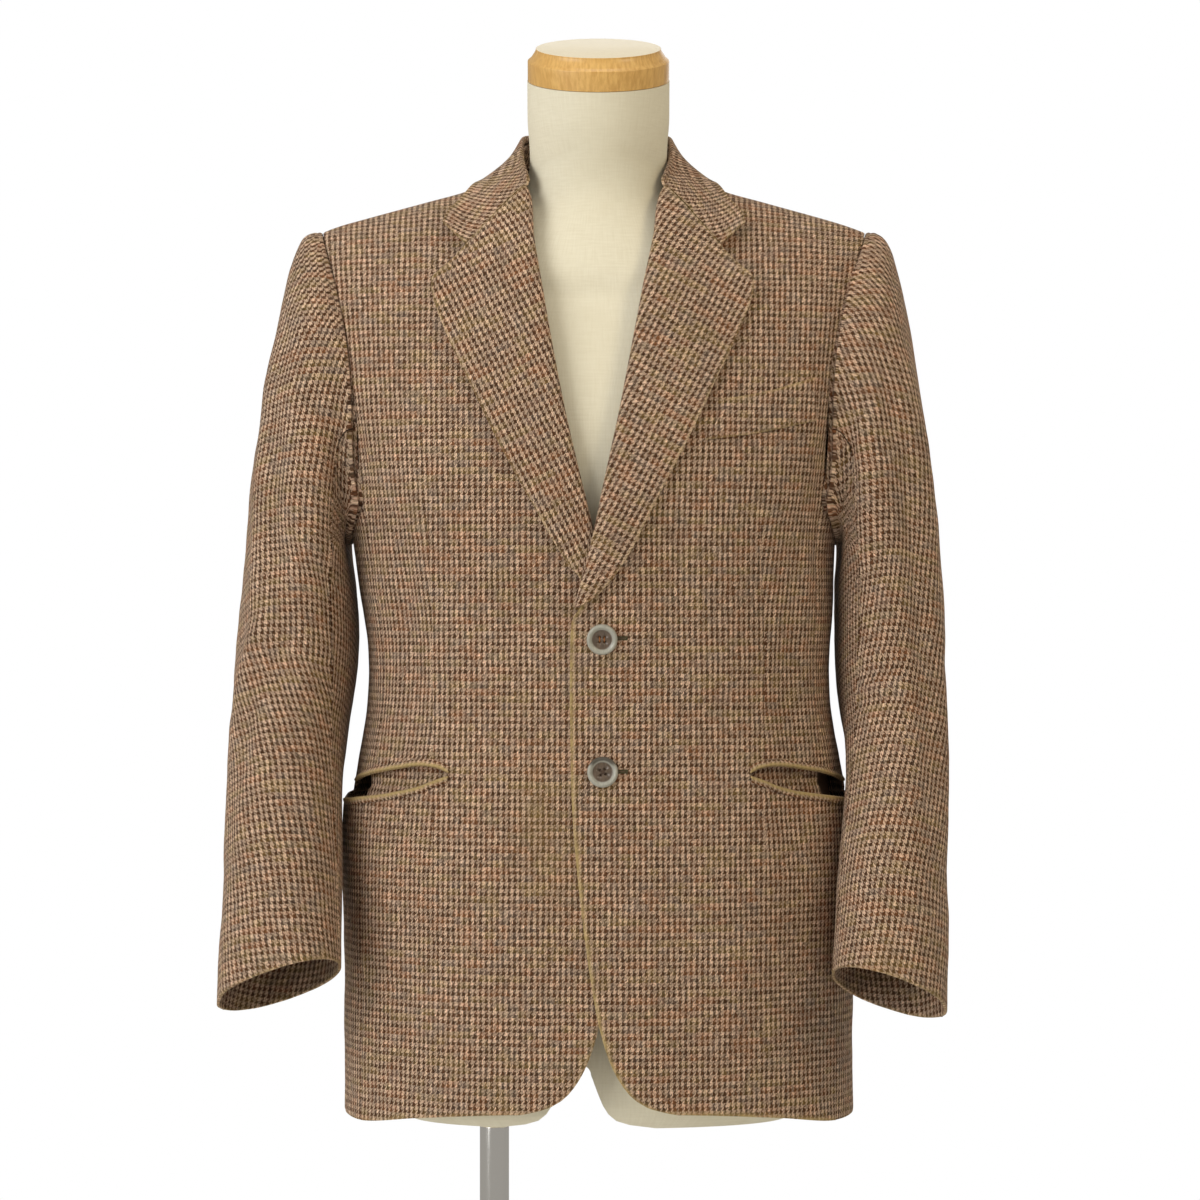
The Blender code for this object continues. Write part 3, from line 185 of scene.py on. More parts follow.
# collar lines from the centre back (0) to the gorge (1)
FOLD = table(
    "u x y z",
    (0.00, 0.0000, 0.0690, 1.3640), (0.20, 0.0270, 0.0640, 1.3630), (0.38, 0.0475, 0.0490, 1.3615),
    (0.54, 0.0580, 0.0250, 1.3580), (0.70, 0.0595, 0.0000, 1.3480), (0.85, 0.0576, -0.0230, 1.3320),
    (1.00, 0.0520, -0.0425, 1.3130),
)
LEAF = table(
    "u x y z",
    (0.00, 0.0000, 0.0805, 1.3060), (0.14, 0.0230, 0.0795, 1.3050), (0.28, 0.0460, 0.0760, 1.3035),
    (0.42, 0.0690, 0.0650, 1.3040), (0.54, 0.0840, 0.0480, 1.3090), (0.66, 0.0895, 0.0180, 1.3185),
    (0.72, 0.0912, 0.0000, 1.3210), (0.82, 0.1005, -0.0280, 1.3060),
    (0.91, 0.1090, -0.0430, 1.2920), (1.00, 0.1124, -0.0530, 1.2800),
)
STAND_FOOT = table(
    "u x y z",
    (0.00, 0.0000, 0.0655, 1.3195), (0.20, 0.0280, 0.0590, 1.3250), (0.38, 0.0490, 0.0440, 1.3310),
    (0.54, 0.0630, 0.0220, 1.3330), (0.68, 0.0705, 0.0020, 1.3290), (0.82, 0.0660, -0.0190, 1.3250),
)
# over the collar's fold, from its inside out
COLLAR_TURN = table(
    "k across up",
    (-4.0, 0.0037, -0.0038), (-3.0, 0.0036, -0.0008), (-2.0, 0.0026, 0.0010),
    (-1.0, 0.0010, 0.0011), (0.0, 0.0000, 0.0000),
)
# the hip pocket's slot: angle round the body, middle height, half its gape
POCKET = table(
    "angle z half",
    (33.0, 0.8702, 0.0010), (37.0, 0.8706, 0.0050), (43.5, 0.8682, 0.0088), (54.0, 0.8640, 0.0098),
    (65.0, 0.8600, 0.0094), (78.0, 0.8556, 0.0076), (88.0, 0.8530, 0.0012),
)
WELT = table(
    "s top_x top_z foot_x foot_z",
    (0.00, 0.1010, 1.1490, 0.0830, 1.1180), (0.50, 0.1335, 1.1560, 0.1220, 1.1235),
    (1.00, 0.1660, 1.1665, 0.1672, 1.1340),
)
# sleeve rings: outer point, inner point, middle and half-depth, and the ring's pitch
SLEEVE = table(
    "row out_x out_z in_x in_z mid_y depth pitch joined",
    (0, 0.2089, 1.2825, 0.1868, 1.0455, 0.0000, 0.0680, 0, 1.00),
    (1, 0.2170, 1.2838, 0.1872, 1.0475, 0.0000, 0.0700, 0, 0.75),
    (2, 0.2270, 1.2740, 0.1885, 1.0440, 0.0000, 0.0720, 0, 0.45),
    (3, 0.2347, 1.2450, 0.1882, 1.0350, 0.0000, 0.0740, 0, 0.20),
    (4, 0.2419, 1.2045, 0.1868, 1.0220, 0.0000, 0.0755, 0, 0.06),
    (5, 0.2488, 1.1650, 0.1855, 1.0090, 0.0010, 0.0765, 0, 0.00),
    (6, 0.2550, 1.1250, 0.1848, 0.9960, 0.0015, 0.0765, 0, 0.00),
    (7, 0.2598, 1.0850, 0.1845, 0.9820, 0.0020, 0.0755, 1, 0.00),
    (8, 0.2637, 1.0400, 0.1845, 0.9660, 0.0010, 0.0740, 2, 0.00),
    (9, 0.2675, 0.9920, 0.1855, 0.9470, -0.0010, 0.0715, 3, 0.00),
    (10, 0.2698, 0.9500, 0.1875, 0.9250, -0.0040, 0.0685, 5, 0.00),
    (11, 0.2710, 0.9100, 0.1900, 0.8980, -0.0110, 0.0650, 8, 0.00),
    (12, 0.2712, 0.8700, 0.1905, 0.8660, -0.0250, 0.0610, 13, 0.00),
    (13, 0.2708, 0.8250, 0.1892, 0.8300, -0.0450, 0.0570, 17, 0.00),
    (14, 0.2698, 0.7800, 0.1877, 0.7900, -0.0630, 0.0530, 19, 0.00),
    (15, 0.2704, 0.7350, 0.1864, 0.7530, -0.0790, 0.0490, 20, 0.00),
    (16, 0.2703, 0.6935, 0.1845, 0.7230, -0.0930, 0.0455, 20, 0.00),
)
# the wearer's right sleeve hangs further out and is a little fuller
SLEEVE_SWING = table("row shift", (0, 0.0), (4, -0.0012), (8, -0.0015), (11, 0.0008), (16, 0.0064))
SEAM_TWIST = table("row turn", (0, 0), (7, 4), (11, 20), (16, 55))
# the form: half-width and depths under the jacket
FORM = table(
    "z width front back",
    (0.605, 0.1580, 0.094, 0.098), (0.640, 0.1660, 0.100, 0.106), (0.720, 0.1700, 0.104, 0.112),
    (0.800, 0.1690, 0.102, 0.108), (0.870, 0.1600, 0.098, 0.092), (0.940, 0.1520, 0.099, 0.082),
    (1.000, 0.1580, 0.106, 0.088), (1.060, 0.1680, 0.116, 0.100), (1.120, 0.1760, 0.121, 0.110),
    (1.200, 0.1860, 0.121, 0.115), (1.290, 0.1930, 0.118, 0.115), (1.360, 0.1930, 0.115, 0.112),
)


# ---- tools


def read(columns, key, name, at):
    """One column at any place between the rows, on a smooth curve through them."""
    xs, ys = columns[key], columns[name]
    if at <= xs[0]:
        return ys[0]
    if at >= xs[-1]:
        return ys[-1]
    i = bisect.bisect_right(xs, at) - 1

    def slope(j):
        lo, hi = max(j - 1, 0), min(j + 1, len(xs) - 1)
        return (ys[hi] - ys[lo]) / (xs[hi] - xs[lo])

    width = xs[i + 1] - xs[i]
    t = (at - xs[i]) / width
    start, end = slope(i) * width, slope(i + 1) * width
    value = (2 * t - 3) * t * t + 1
    return value * ys[i] + (1 - value) * ys[i + 1] + ((t - 2) * t + 1) * t * start + (t - 1) * t * t * end


def step(at, low, high):
    """0 at low, 1 at high, smooth between; low may be above high."""
    t = min(max((at - low) / (high - low), 0.0), 1.0)
    return t * t * (3 - 2 * t)


def mix(a, b, share):
    """Part of the way from a to b."""
    return a + (b - a) * share


def power(value, exponent):
    """A power that keeps the value's sign."""
    return math.copysign(abs(value) ** exponent, value)


def bell(value, middle, width):
    """1 at the middle, falling away softly on both sides."""
    return math.exp(-(((value - middle) / width) ** 2))


def spot(point, x, z, wide, high):
    """The same round a place seen from the front."""
    return math.exp(-(((point.x - x) / wide) ** 2) - ((point.z - z) / high) ** 2)


def even(low, high, count):
    """Numbers from low to high in equal steps."""
    return [mix(low, high, i / count) for i in range(count + 1)]


def laid_out(across, along, place):
    """A grid of points: a column for each of the first numbers, with a point for each of the second."""
    return [[place(a, b) for b in along] for a in across]


# ---- the body surface


def dome(x, z, back):
    """How far a section has drawn in towards the shoulder line: 1 below the chest, 0 on the line."""
    base, roundness = (BLADE_Z, BLADE_ROUND) if back else (CHEST_Z, CHEST_ROUND)
    top = read(SHOULDER, "x", "back" if back else "front", abs(x))
    rise = min(max((z - base) / (top - base), 0.0), 1.0)
    return (1 - rise**roundness) ** (1 / roundness)


def body(angle, z):
    """Point at an angle from the centre front (negative across it) and a height, lean left out."""
    turn = math.radians(angle)
    back = angle > 90
    x = read(SECTION, "z", "width", z) * power(math.sin(turn), 2 / SECTION_ROUND)
    depth = read(SECTION, "z", "back" if back else "front", z)
    depth *= abs(math.cos(turn)) ** (2 / SECTION_ROUND) * dome(x, z, back)
    return Vector((x, depth if back else -depth, z))


def angle_at(x, z, back=False):
    """The angle of a place given by its distance from the middle."""
    share = min(abs(x) / read(SECTION, "z", "width", z), 1.0)
    angle = math.degrees(math.asin(share ** (SECTION_ROUND / 2)))
    return 180 - math.copysign(angle, x) if back else math.copysign(angle, x)


def gape(angle, z):
    """The cloth below a hip pocket hangs away from the body."""
    below = read(POCKET, "angle", "z", angle) - z
    fall = bell(below, 0.0, GAPE_BELOW) if below > 0 else 0.0
    edge = step(below, -GAPE_ABOVE, GAPE_ABOVE)
    return GAPE * step(angle, 36, 80) * step(angle, 128, 96) * fall * edge


def stand_off(side, x, z):
    """The left front lies over the right one."""
    if side == RIGHT:
        return 0.0
    return read(OVERLAP, "z", "lift", z) * step(x, 0.066, 0.026)


def skin(side, angle, z, up=0.0):
    """Point of the jacket's outer face on one side, moved out by up, with lean."""
    point = body(angle, z)
    reach, rise = 0.4, 0.0012
    low = z - rise
    across = body(angle + reach, z) - body(angle - reach, z)
    along = body(angle, z) - body(angle, low)
    normal = across.cross(along).normalized()
    lift = up + gape(angle, z) + body_relief(side, angle, z)
    if angle < 90:
        lift += stand_off(side, point.x, z)
    point = point + normal * lift
    y = max(point.y, SEAM) if angle > 90 else min(point.y, -SEAM)
    return Vector((side * point.x + read(LEAN, "z", "shift", z), y, point.z))


def on_front(side, x, z, up=0.0):
    """Point of a front, by its distance from the middle and its height."""
    return skin(side, angle_at(x, z), z, up)


# ---- drape and folds

# soft folds of the body: place, half-width and half-length in metres, tilt in degrees, height;
# a hollow has a negative height
BODY_FOLDS = table(
    "side angle z wide long tilt high",
    (RIGHT, 24, 1.257, 0.009, 0.010, 0, -0.0026), (LEFT, 24, 1.257, 0.009, 0.010, 0, -0.0026),
    (RIGHT, 50, 0.985, 0.012, 0.110, -4, -0.0020), (RIGHT, 57, 1.000, 0.010, 0.090, 6, 0.0014),
    (RIGHT, 38, 0.930, 0.014, 0.090, -10, 0.0010), (RIGHT, 61, 1.130, 0.013, 0.085, 4, -0.0042),
    (RIGHT, 30, 0.730, 0.018, 0.090, 4, 0.0014), (RIGHT, 46, 0.710, 0.020, 0.080, -5, -0.0016),
    (RIGHT, 14, 0.800, 0.016, 0.070, 12, -0.0008), (RIGHT, 20, 1.020, 0.010, 0.070, -38, 0.0008),
    (LEFT, 52, 0.985, 0.012, 0.100, 5, -0.0018), (LEFT, 59, 1.010, 0.010, 0.080, -5, 0.0012),
    (LEFT, 61, 1.130, 0.014, 0.085, -4, -0.0042), (LEFT, 26, 0.715, 0.018, 0.085, -5, 0.0014),
    (LEFT, 44, 0.725, 0.020, 0.080, 4, -0.0016), (LEFT, 24, 0.935, 0.010, 0.045, 66, 0.0008),
    (LEFT, 17, 0.905, 0.009, 0.050, 78, -0.0008), (LEFT, 96, 0.960, 0.014, 0.080, 3, -0.0018),
    (RIGHT, 98, 0.970, 0.013, 0.080, -3, -0.0018), (LEFT, 140, 0.930, 0.016, 0.070, 74, 0.0014),
    (LEFT, 146, 0.905, 0.012, 0.070, 80, -0.0016), (RIGHT, 142, 0.940, 0.016, 0.075, -76, 0.0014),
    (RIGHT, 150, 0.912, 0.012, 0.065, -82, -0.0014), (LEFT, 132, 1.140, 0.016, 0.080, 10, -0.0020),
    (RIGHT, 134, 1.150, 0.016, 0.080, -12, -0.0020), (LEFT, 150, 0.740, 0.022, 0.100, 3, 0.0020),
    (RIGHT, 146, 0.730, 0.022, 0.100, -4, 0.0018), (LEFT, 128, 0.730, 0.016, 0.090, -3, -0.0016),
    (RIGHT, 126, 0.740, 0.016, 0.090, 3, -0.0018),
)
# folds of the sleeves: turn round from the outermost point, row, half-sizes in metres, tilt, height
SLEEVE_FOLDS = table(
    "side turn row wide long tilt high",
    (LEFT, 42, 6.5, 0.010, 0.130, 4, -0.0036), (LEFT, 66, 7.4, 0.010, 0.150, 2, 0.0034),
    (LEFT, 36, 11.0, 0.009, 0.090, 8, -0.0024), (LEFT, 22, 11.5, 0.010, 0.080, 6, 0.0014),
    (LEFT, 92, 9.6, 0.007, 0.030, 62, -0.0018), (LEFT, 100, 10.4, 0.006, 0.028, 70, -0.0016),
    (LEFT, 104, 4.0, 0.013, 0.090, -6, -0.0042), (LEFT, 20, 2.0, 0.010, 0.020, 0, 0.0008),
    (LEFT, 300, 9.8, 0.010, 0.040, 60, -0.0020), (LEFT, 320, 10.6, 0.009, 0.040, 70, 0.0014),
    (RIGHT, 40, 6.6, 0.010, 0.100, -8, -0.0034), (RIGHT, 68, 7.2, 0.010, 0.110, -10, 0.0026),
    (RIGHT, 60, 9.4, 0.008, 0.050, 28, -0.0026), (RIGHT, 40, 10.6, 0.009, 0.055, 22, -0.0022),
    (RIGHT, 54, 11.4, 0.008, 0.050, 16, 0.0018), (RIGHT, 98, 9.8, 0.007, 0.028, -66, -0.0018),
    (RIGHT, 92, 11.0, 0.006, 0.026, -60, -0.0014), (RIGHT, 104, 4.0, 0.013, 0.090, 6, -0.0042),
    (RIGHT, 304, 9.6, 0.010, 0.040, -62, -0.0020), (RIGHT, 326, 10.4, 0.009, 0.036, -70, 0.0014),
)


def folded(folds, side, across_of, along_of):
    """Sum of the soft folds near one place of the cloth."""
    total = 0.0
    for i, fold_side in enumerate(folds["side"]):
        if fold_side != side:
            continue
        across, along = across_of(i), along_of(i)
        if abs(across) > FOLD_FAR_ACROSS or abs(along) > FOLD_FAR_ALONG:
            continue
        tilt = math.radians(folds["tilt"][i])
        a = (across * math.cos(tilt) - along * math.sin(tilt)) / folds["wide"][i]
        b = (across * math.sin(tilt) + along * math.cos(tilt)) / folds["long"][i]
        if a * a + b * b < 12:
            total += FOLD_STRENGTH * folds["high"][i] * math.exp(-0.5 * (a * a + b * b))
    return total


def body_relief(side, angle, z):
    """Folds and the slight unevenness of worn cloth, out from the body."""
    turn = math.radians(1) * BODY_RADIUS
    total = folded(
        BODY_FOLDS,
        side,
        lambda i: (angle - BODY_FOLDS["angle"][i]) * turn,
        lambda i: z - BODY_FOLDS["z"][i],
    )
    edge = 1 - step(abs(angle), 6, 0) * step(abs(angle), 174, 180) if angle > 90 else 1.0
    total += 0.0011 * noise.noise(Vector((side * angle * 0.085, z * 16, 4.0)))
    total += 0.0004 * noise.noise(Vector((side * angle * 0.25, z * 50, 9.0)))
    return total * edge * step(z, 1.31, 1.24)


def half_turns(turn):
    """The same turn between -180 and 180 degrees."""
    return (turn + 180) % 360 - 180


def sleeve_relief(side, turn, row):
    """The same for a sleeve, which lies flatter against the body."""
    turn %= 360
    total = folded(
        SLEEVE_FOLDS,
        side,
        lambda i: half_turns(turn - SLEEVE_FOLDS["turn"][i]) * math.radians(1) * SLEEVE_RADIUS,
        lambda i: -(row - SLEEVE_FOLDS["row"][i]) * ROW_LENGTH,
    )
    around = math.radians(turn)
    place = Vector((math.cos(around) * 1.6, math.sin(around) * 1.6, row * 0.75 + side * 20))
    total += 0.0016 * noise.noise(place) + 0.0005 * noise.noise(place * 3.1)
    against_body = step(math.cos(around), -0.15, -0.75)
    return total * step(row, 0.2, 2.0) * (1 - 0.75 * against_body)


# ---- cloth pieces


def outward(grid, flip):
    """Normals of a grid of points, on its outer side."""
    last_i, last_j = len(grid) - 1, len(grid[0]) - 1

    def normal(i, j):
        across = grid[min(i + 1, last_i)][j] - grid[max(i - 1, 0)][j]
        along = grid[i][min(j + 1, last_j)] - grid[i][max(j - 1, 0)]
        return across.cross(along).normalized() * (-1 if flip else 1)

    return laid_out(range(last_i + 1), range(last_j + 1), normal)


def chart(grid, axis, start=None, origin=0, level_below=None, side=1):
    """Where each point lies on the flat cloth, in metres: U across the grain and V along it."""
    ni, nj = len(grid), len(grid[0])
    u = [[0.0] * nj for _ in range(ni)]
    v = [[0.0] * nj for _ in range(ni)]
    ways = [axis(j) if callable(axis) else axis for j in range(nj)]
    for j, way in enumerate(ways):
        u[origin][j] = start[j] if start else 0.0
        for order, sign in ((range(origin + 1, ni), 1), (range(origin - 1, -1, -1), -1)):
            for i in order:
                move = grid[i][j] - grid[i - sign][j]
                flat = move - way * move.dot(way)
                u[i][j] = u[i - sign][j] + sign * flat.length
    for i in range(ni):
        v[i][0] = grid[i][0].dot(ways[0])
        for j in range(1, nj):
            move = grid[i][j] - grid[i][j - 1]
            rise = move.dot(ways[j])
            if level_below is not None and grid[i][j].z >= level_below:
                slip = u[i][j] - u[i][j - 1]
                rise = math.sqrt(max(move.length_squared - slip * slip, rise * rise))
            v[i][j] = v[i][j - 1] + rise
    return [[side * value for value in column] for column in u], v


def edge_wear(weave, edges, reach=0.0016, strength=0.55):
    """Most on the named edges of a piece, falling away within a few millimetres."""
    u, v = weave

    def worn(i, j):
        away = {
            "start": u[i][j] - u[0][j],
            "end": u[-1][j] - u[i][j],
            "foot": v[i][j] - v[i][0],
            "top": v[i][-1] - v[i][j],
        }
        near = min(abs(away[edge]) for edge in edges) / reach
        uneven = 0.75 + 0.45 * noise.noise(Vector((u[i][j] * 90, v[i][j] * 90, 2.0)))
        return max(0.0, min(1.5, strength * uneven * math.exp(-near * near)))

    return laid_out(range(len(u)), range(len(u[0])), worn)


def outline_sizes(u, v, area):
    """Flat size and area of a piece, from its place in the weave."""
    spans = [max(map(max, part)) - min(map(min, part)) for part in (u, v)]
    width, length = (max(SMALLEST_SHEET, round(span + SHEET_MARGIN, 3)) for span in spans)
    return (width, length), round(min(area, width * length), 5)


def cloth_piece(
    name,
    grid,
    weave,
    flip=False,
    wall=WALL,
    edge=0.0006,
    keep=None,
    wear=None,
    soil=None,
    take_up=None,
    finish="Tweed",
    slot="tweed",
):
    """A shell of cloth over a grid of points, with its weave; its flat size and area are worked out but not
    used.
    """
    ni, nj = len(grid) - 1, len(grid[0]) - 1
    u, v = weave
    bm = bmesh.new()
    bmesh.ops.create_grid(bm, x_segments=ni, y_segments=nj, size=0.5)
    uv = bm.loops.layers.uv.new("weave")
    worn = bm.verts.layers.float.new("wear")
    soiled = bm.verts.layers.float.new("soil")
    place = {vert: (round((vert.co.x + 0.5) * ni), round((vert.co.y + 0.5) * nj)) for vert in bm.verts}
    for vert, (i, j) in place.items():
        vert.co = grid[i][j]
        vert[worn] = wear[i][j] if wear else 0.0
        vert[soiled] = soil(grid[i][j]) if soil else 0.0
    unwanted = []
    for face in bm.faces:
        spots = [place[vert] for vert in face.verts]
        low_i, low_j = min(i for i, _ in spots), min(j for _, j in spots)
        for loop in face.loops:
            i, j = place[loop.vert]
            beyond = take_up(low_i, j) if take_up else 0.0
            loop[uv].uv = (u[i][j] + beyond, v[i][j])
        if keep and not keep(low_i, low_j):
            unwanted.append(face)
    bmesh.ops.delete(bm, geom=unwanted, context="FACES")
    area = sum(face.calc_area() for face in bm.faces)
    if flip:
        bmesh.ops.reverse_faces(bm, faces=bm.faces)
    obj = new_object(name, bm, [finish])
    solid = obj.modifiers.new("Wall", "SOLIDIFY")
    solid.thickness = wall
    solid.offset = -1
    if edge:
        rim = obj.modifiers.new("Turned edge", "BEVEL")
        rim.limit_method = "ANGLE"
        rim.angle_limit = math.radians(50)
        rim.width = edge
        rim.segments = 2
        rim.profile = 0.5
    size, area = outline_sizes(u, v, area)
    stands_in(obj, name.removesuffix("_cloth"), slot)


def stands_in(obj, node, slot):
    """Puts a piece in the place of one of the part's solids."""
    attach(obj, "root")
    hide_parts(node)


def new_object(name, bm, finishes, smooth_angle=40):
    """A finished mesh as an object at the origin, shaded smooth, with its materials."""
    mesh = bpy.data.meshes.new(name)
    bm.to_mesh(mesh)
    bm.free()
    mesh.shade_smooth()
    mesh.set_sharp_from_angle(angle=math.radians(smooth_angle))
    obj = bpy.data.objects.new(name, mesh)
    for finish in finishes:
        obj.data.materials.append(finish_of(finish))
    bpy.context.scene.collection.objects.link(obj)
    return obj


def spaced(length, near, fine, wide):
    """Shares from 0 to 1 along a length: fine steps within near of both ends, wide ones between."""
    count = max(1, round(near / fine))
    ends = [i * fine / length for i in range(count + 1)]
    middle = max(1, round((length - 2 * near) / wide))
    between = [ends[-1] + (1 - 2 * ends[-1]) * i / middle for i in range(1, middle)]
    return ends + between + [1 - share for share in reversed(ends)]


# ---- body panels


def slot_at(angle):
    """Middle height of the hip pocket's slot, and half its gape."""
    return read(POCKET, "angle", "z", angle), read(POCKET, "angle", "half", angle)


def low_z(angle, row):
    """Height of a row below the armpit: from the hem to the pocket's slot, or from it to the split."""
    part, share = row
    middle, half = slot_at(angle)
    if part == "hem":
        return mix(read(HEM, "angle", "z", abs(angle)), middle - half, share)
    return mix(middle + half, SPLIT_Z, share)


def high_z(x, level, back):
    """Height of a row above the armpit, as a level between the split (0) and the shoulder (1)."""
    top = read(SHOULDER, "x", "back" if back else "front", abs(x))
    if back:
        level *= mix(BACK_NECK_LEVEL, 1.0, step(abs(x), -0.01, 0.078) ** 1.6)
    return SPLIT_Z + (top - SPLIT_Z) * math.sin(math.pi / 2 * level) ** 1.1


def settle(guess, level, back, column):
    """Where a row meets an edge given as x against z."""
    x = guess
    for _ in range(24):
        x = mix(x, column(high_z(x, level, back)), 0.5)
    return x, high_z(x, level, back)


def high_point(angle, level, back):
    """Angle and height on one of the rows above the armpit."""
    z = SPLIT_Z
    for _ in range(12):
        x = read(SECTION, "z", "width", z) * power(math.sin(math.radians(angle)), 2 / SECTION_ROUND)
        z = high_z(x, level, back)
    return angle, z


def front_x(z):
    """Inner edge of a front, set back along the roll."""
    inset = ROLL_INSET * step(z, ROLL_START, ROLL_START + 0.012) * step(z, 1.3255, ROLL_END)
    return read(FRONT_EDGE, "z", "x", z) + inset


def panel_rows():
    """Rows of the body panels: hem to pocket, pocket to armpit, armpit to shoulder."""
    low = [("hem", share) for share in spaced(0.245, 0.006, 0.0012, 0.0045)]
    middle = [("rise", share) for share in spaced(0.200, 0.006, 0.0012, 0.0045)]
    high = [("high", share) for share in spaced(0.230, 0.004, 0.0013, 0.0058)[1:]]
    return low + middle + high, len(low) - 1


PANEL_ROWS, SLOT_ROW = panel_rows()


def sunk(length_to_edge):
    """How deep the cloth dips next to a sewn seam."""
    return -SEAM_SINK * (1 - step(length_to_edge, 0.0, SEAM_SOFT))


def front_grid(side):
    """Points of a front, its dart's column and the angles of its points."""
    inner_shares = spaced(0.130, 0.004, 0.0010, 0.0050)
    outer_shares = spaced(0.075, 0.004, 0.0010, 0.0050)
    dart = len(inner_shares) - 1
    ni = dart + len(outer_shares)
    grid = [[None] * len(PANEL_ROWS) for _ in range(ni)]
    angles = [[0.0] * len(PANEL_ROWS) for _ in range(ni)]
    for j, row in enumerate(PANEL_ROWS):
        high = row[0] == "high"
        if high:
            x, z = settle(0.02, row[1], False, front_x)
            inner = angle_at(x, z)
            x, z = settle(0.18, row[1], False, lambda h: read(ARMHOLE, "z", "front", h))
            outer = angle_at(x, z)
            middle = angle_at(*settle(DART_X, row[1], False, lambda h: DART_X))
        else:
            z = low_z(0, row)
            for _ in range(10):
                x = front_x(z)
                inner = angle_at(x, z)
                z = low_z(inner, row)
            outer = FRONT_SEAM - SEAM_ANGLE
            middle = 40.0
            for _ in range(10):
                middle = angle_at(DART_X, low_z(middle, row))
        spots = [mix(inner, middle, share) for share in inner_shares]
        spots += [mix(middle, outer, share) for share in outer_shares[1:]]
        for i, angle in enumerate(spots):
            z = high_point(angle, row[1], False)[1] if high else low_z(angle, row)
            up = -0.0006 * bell(abs(angle - middle) * DEGREE, 0.0, 0.0013) * dart_share(z)
            up += 0.7 * sunk((outer - angle) * DEGREE)
            from_edge = (angle - inner) * EDGE_DEGREE
            rolled = step(z, 1.0, 0.96) * step(z, 0.645, 0.690)
            up += 0.0010 * bell(from_edge, 0.0024, 0.0016) * rolled
            up -= 0.0008 * bell(from_edge, 0.0064, 0.0014) * rolled
            if high:
                up += 0.5 * sunk((1 - row[1]) * HIGH_LENGTH)
            grid[i][j] = skin(side, angle, z, up)
            angles[i][j] = angle
    return grid, angles, dart


def dart_share(z):
    """How far the dart's line shows at a height."""
    return step(z, DART_LOW, DART_LOW + 0.012) * step(z, DART_TOP, DART_TOP - 0.03)


def dart_take(z):
    """Cloth folded away in the dart at a height."""
    return DART_TAKE * step(z, DART_LOW - 0.10, DART_WAIST) * step(z, DART_TOP, DART_WAIST)


def below_split(angle):
    """How far the armhole's foot drops below the split between the fronts and the backs."""
    return (SPLIT_Z - ARMPIT_Z) * (1 - ((angle - 91.5) / 26.5) ** 2)


def side_grid(side):
    """Points of a side panel, and the angle of each of its columns."""
    angles = [
        mix(FRONT_SEAM + SEAM_ANGLE, BACK_SEAM - SEAM_ANGLE, share)
        for share in spaced(0.160, 0.004, 0.0010, 0.0055)
    ]

    def place(angle, row):
        z = low_z(angle, row)
        if row[0] == "rise":
            z -= below_split(angle) * step(row[1], 0.30, 1.0)
        up = 0.7 * (sunk((angle - FRONT_SEAM) * DEGREE) + sunk((BACK_SEAM - angle) * DEGREE))
        return skin(side, angle, z, up)

    return laid_out(angles, [row for row in PANEL_ROWS if row[0] != "high"], place), angles


def vent_x(side, z):
    """Inner edge of a back: the seam, and below it the vent's lap on the left back."""
    if side == RIGHT:
        return SEAM
    return mix(-VENT_LAP, SEAM, step(z, VENT_TOP - 0.012, VENT_TOP + 0.010))


def back_grid(side):
    """Points of a back."""
    shares = spaced(0.170, 0.004, 0.0010, 0.0055)
    grid = [[None] * len(PANEL_ROWS) for _ in shares]
    for j, row in enumerate(PANEL_ROWS):
        high = row[0] == "high"
        if high:
            inner = angle_at(SEAM, high_z(SEAM, row[1], True), True)
            x, z = settle(0.18, row[1], True, lambda h: read(ARMHOLE, "z", "back", h))
            outer = angle_at(x, z, True)
        else:
            z = low_z(180, row)
            inner = angle_at(vent_x(side, z), z, True)
            outer = BACK_SEAM + SEAM_ANGLE
        for i, share in enumerate(shares):
            angle = mix(inner, outer, share)
            z = high_point(angle, row[1], True)[1] if high else low_z(angle, row)
            up = 0.7 * sunk((angle - outer) * DEGREE)
            up += 0.8 * sunk(abs(angle - 180) * EDGE_DEGREE) * step(z, VENT_TOP, VENT_TOP + 0.02)
            if high:
                up += 0.5 * sunk((1 - row[1]) * HIGH_LENGTH) * step(abs(angle - 180), 28, 34)
            if side == LEFT:
                lap = 0.0025 * step(z, VENT_TOP + 0.045, VENT_TOP + 0.012)
                up += lap * step(angle, 160, 172)
            grid[i][j] = skin(side, angle, z, up)
    return grid


def front_soil(point):
    """An old mustard mark low on the wearer's right front, and a trace of dust above the hem."""
    mark = spot(point, -0.046, 0.842, 0.013, 0.034)
    trace = spot(point, -0.030, 0.800, 0.020, 0.030)
    return min(1.0, 0.75 * mark + 0.35 * trace)


def make_front(side, mark):
    """A front, with its dart and its half of the hip pocket's slot."""
    grid, angles, dart = front_grid(side)
    weave = chart(grid, UP, [point.x * side for point in grid[0]], 0, LEVEL_BELOW, side)

    def take_up(i, j):
        return side * dart_take(grid[dart][j].z) if i >= dart else 0.0

    def keep(i, j):
        return not (j == SLOT_ROW and angles[i][j] + angles[i + 1][j] > 2 * SLOT_FROM)

    cloth_piece(
        f"front_{mark}_cloth",
        grid,
        weave,
        flip=side == RIGHT,
        keep=keep,
        wear=edge_wear(weave, ("start", "foot"), 0.0026, 1.5 if side == LEFT else 0.6),
        soil=front_soil if side == RIGHT else None,
        take_up=take_up,
    )


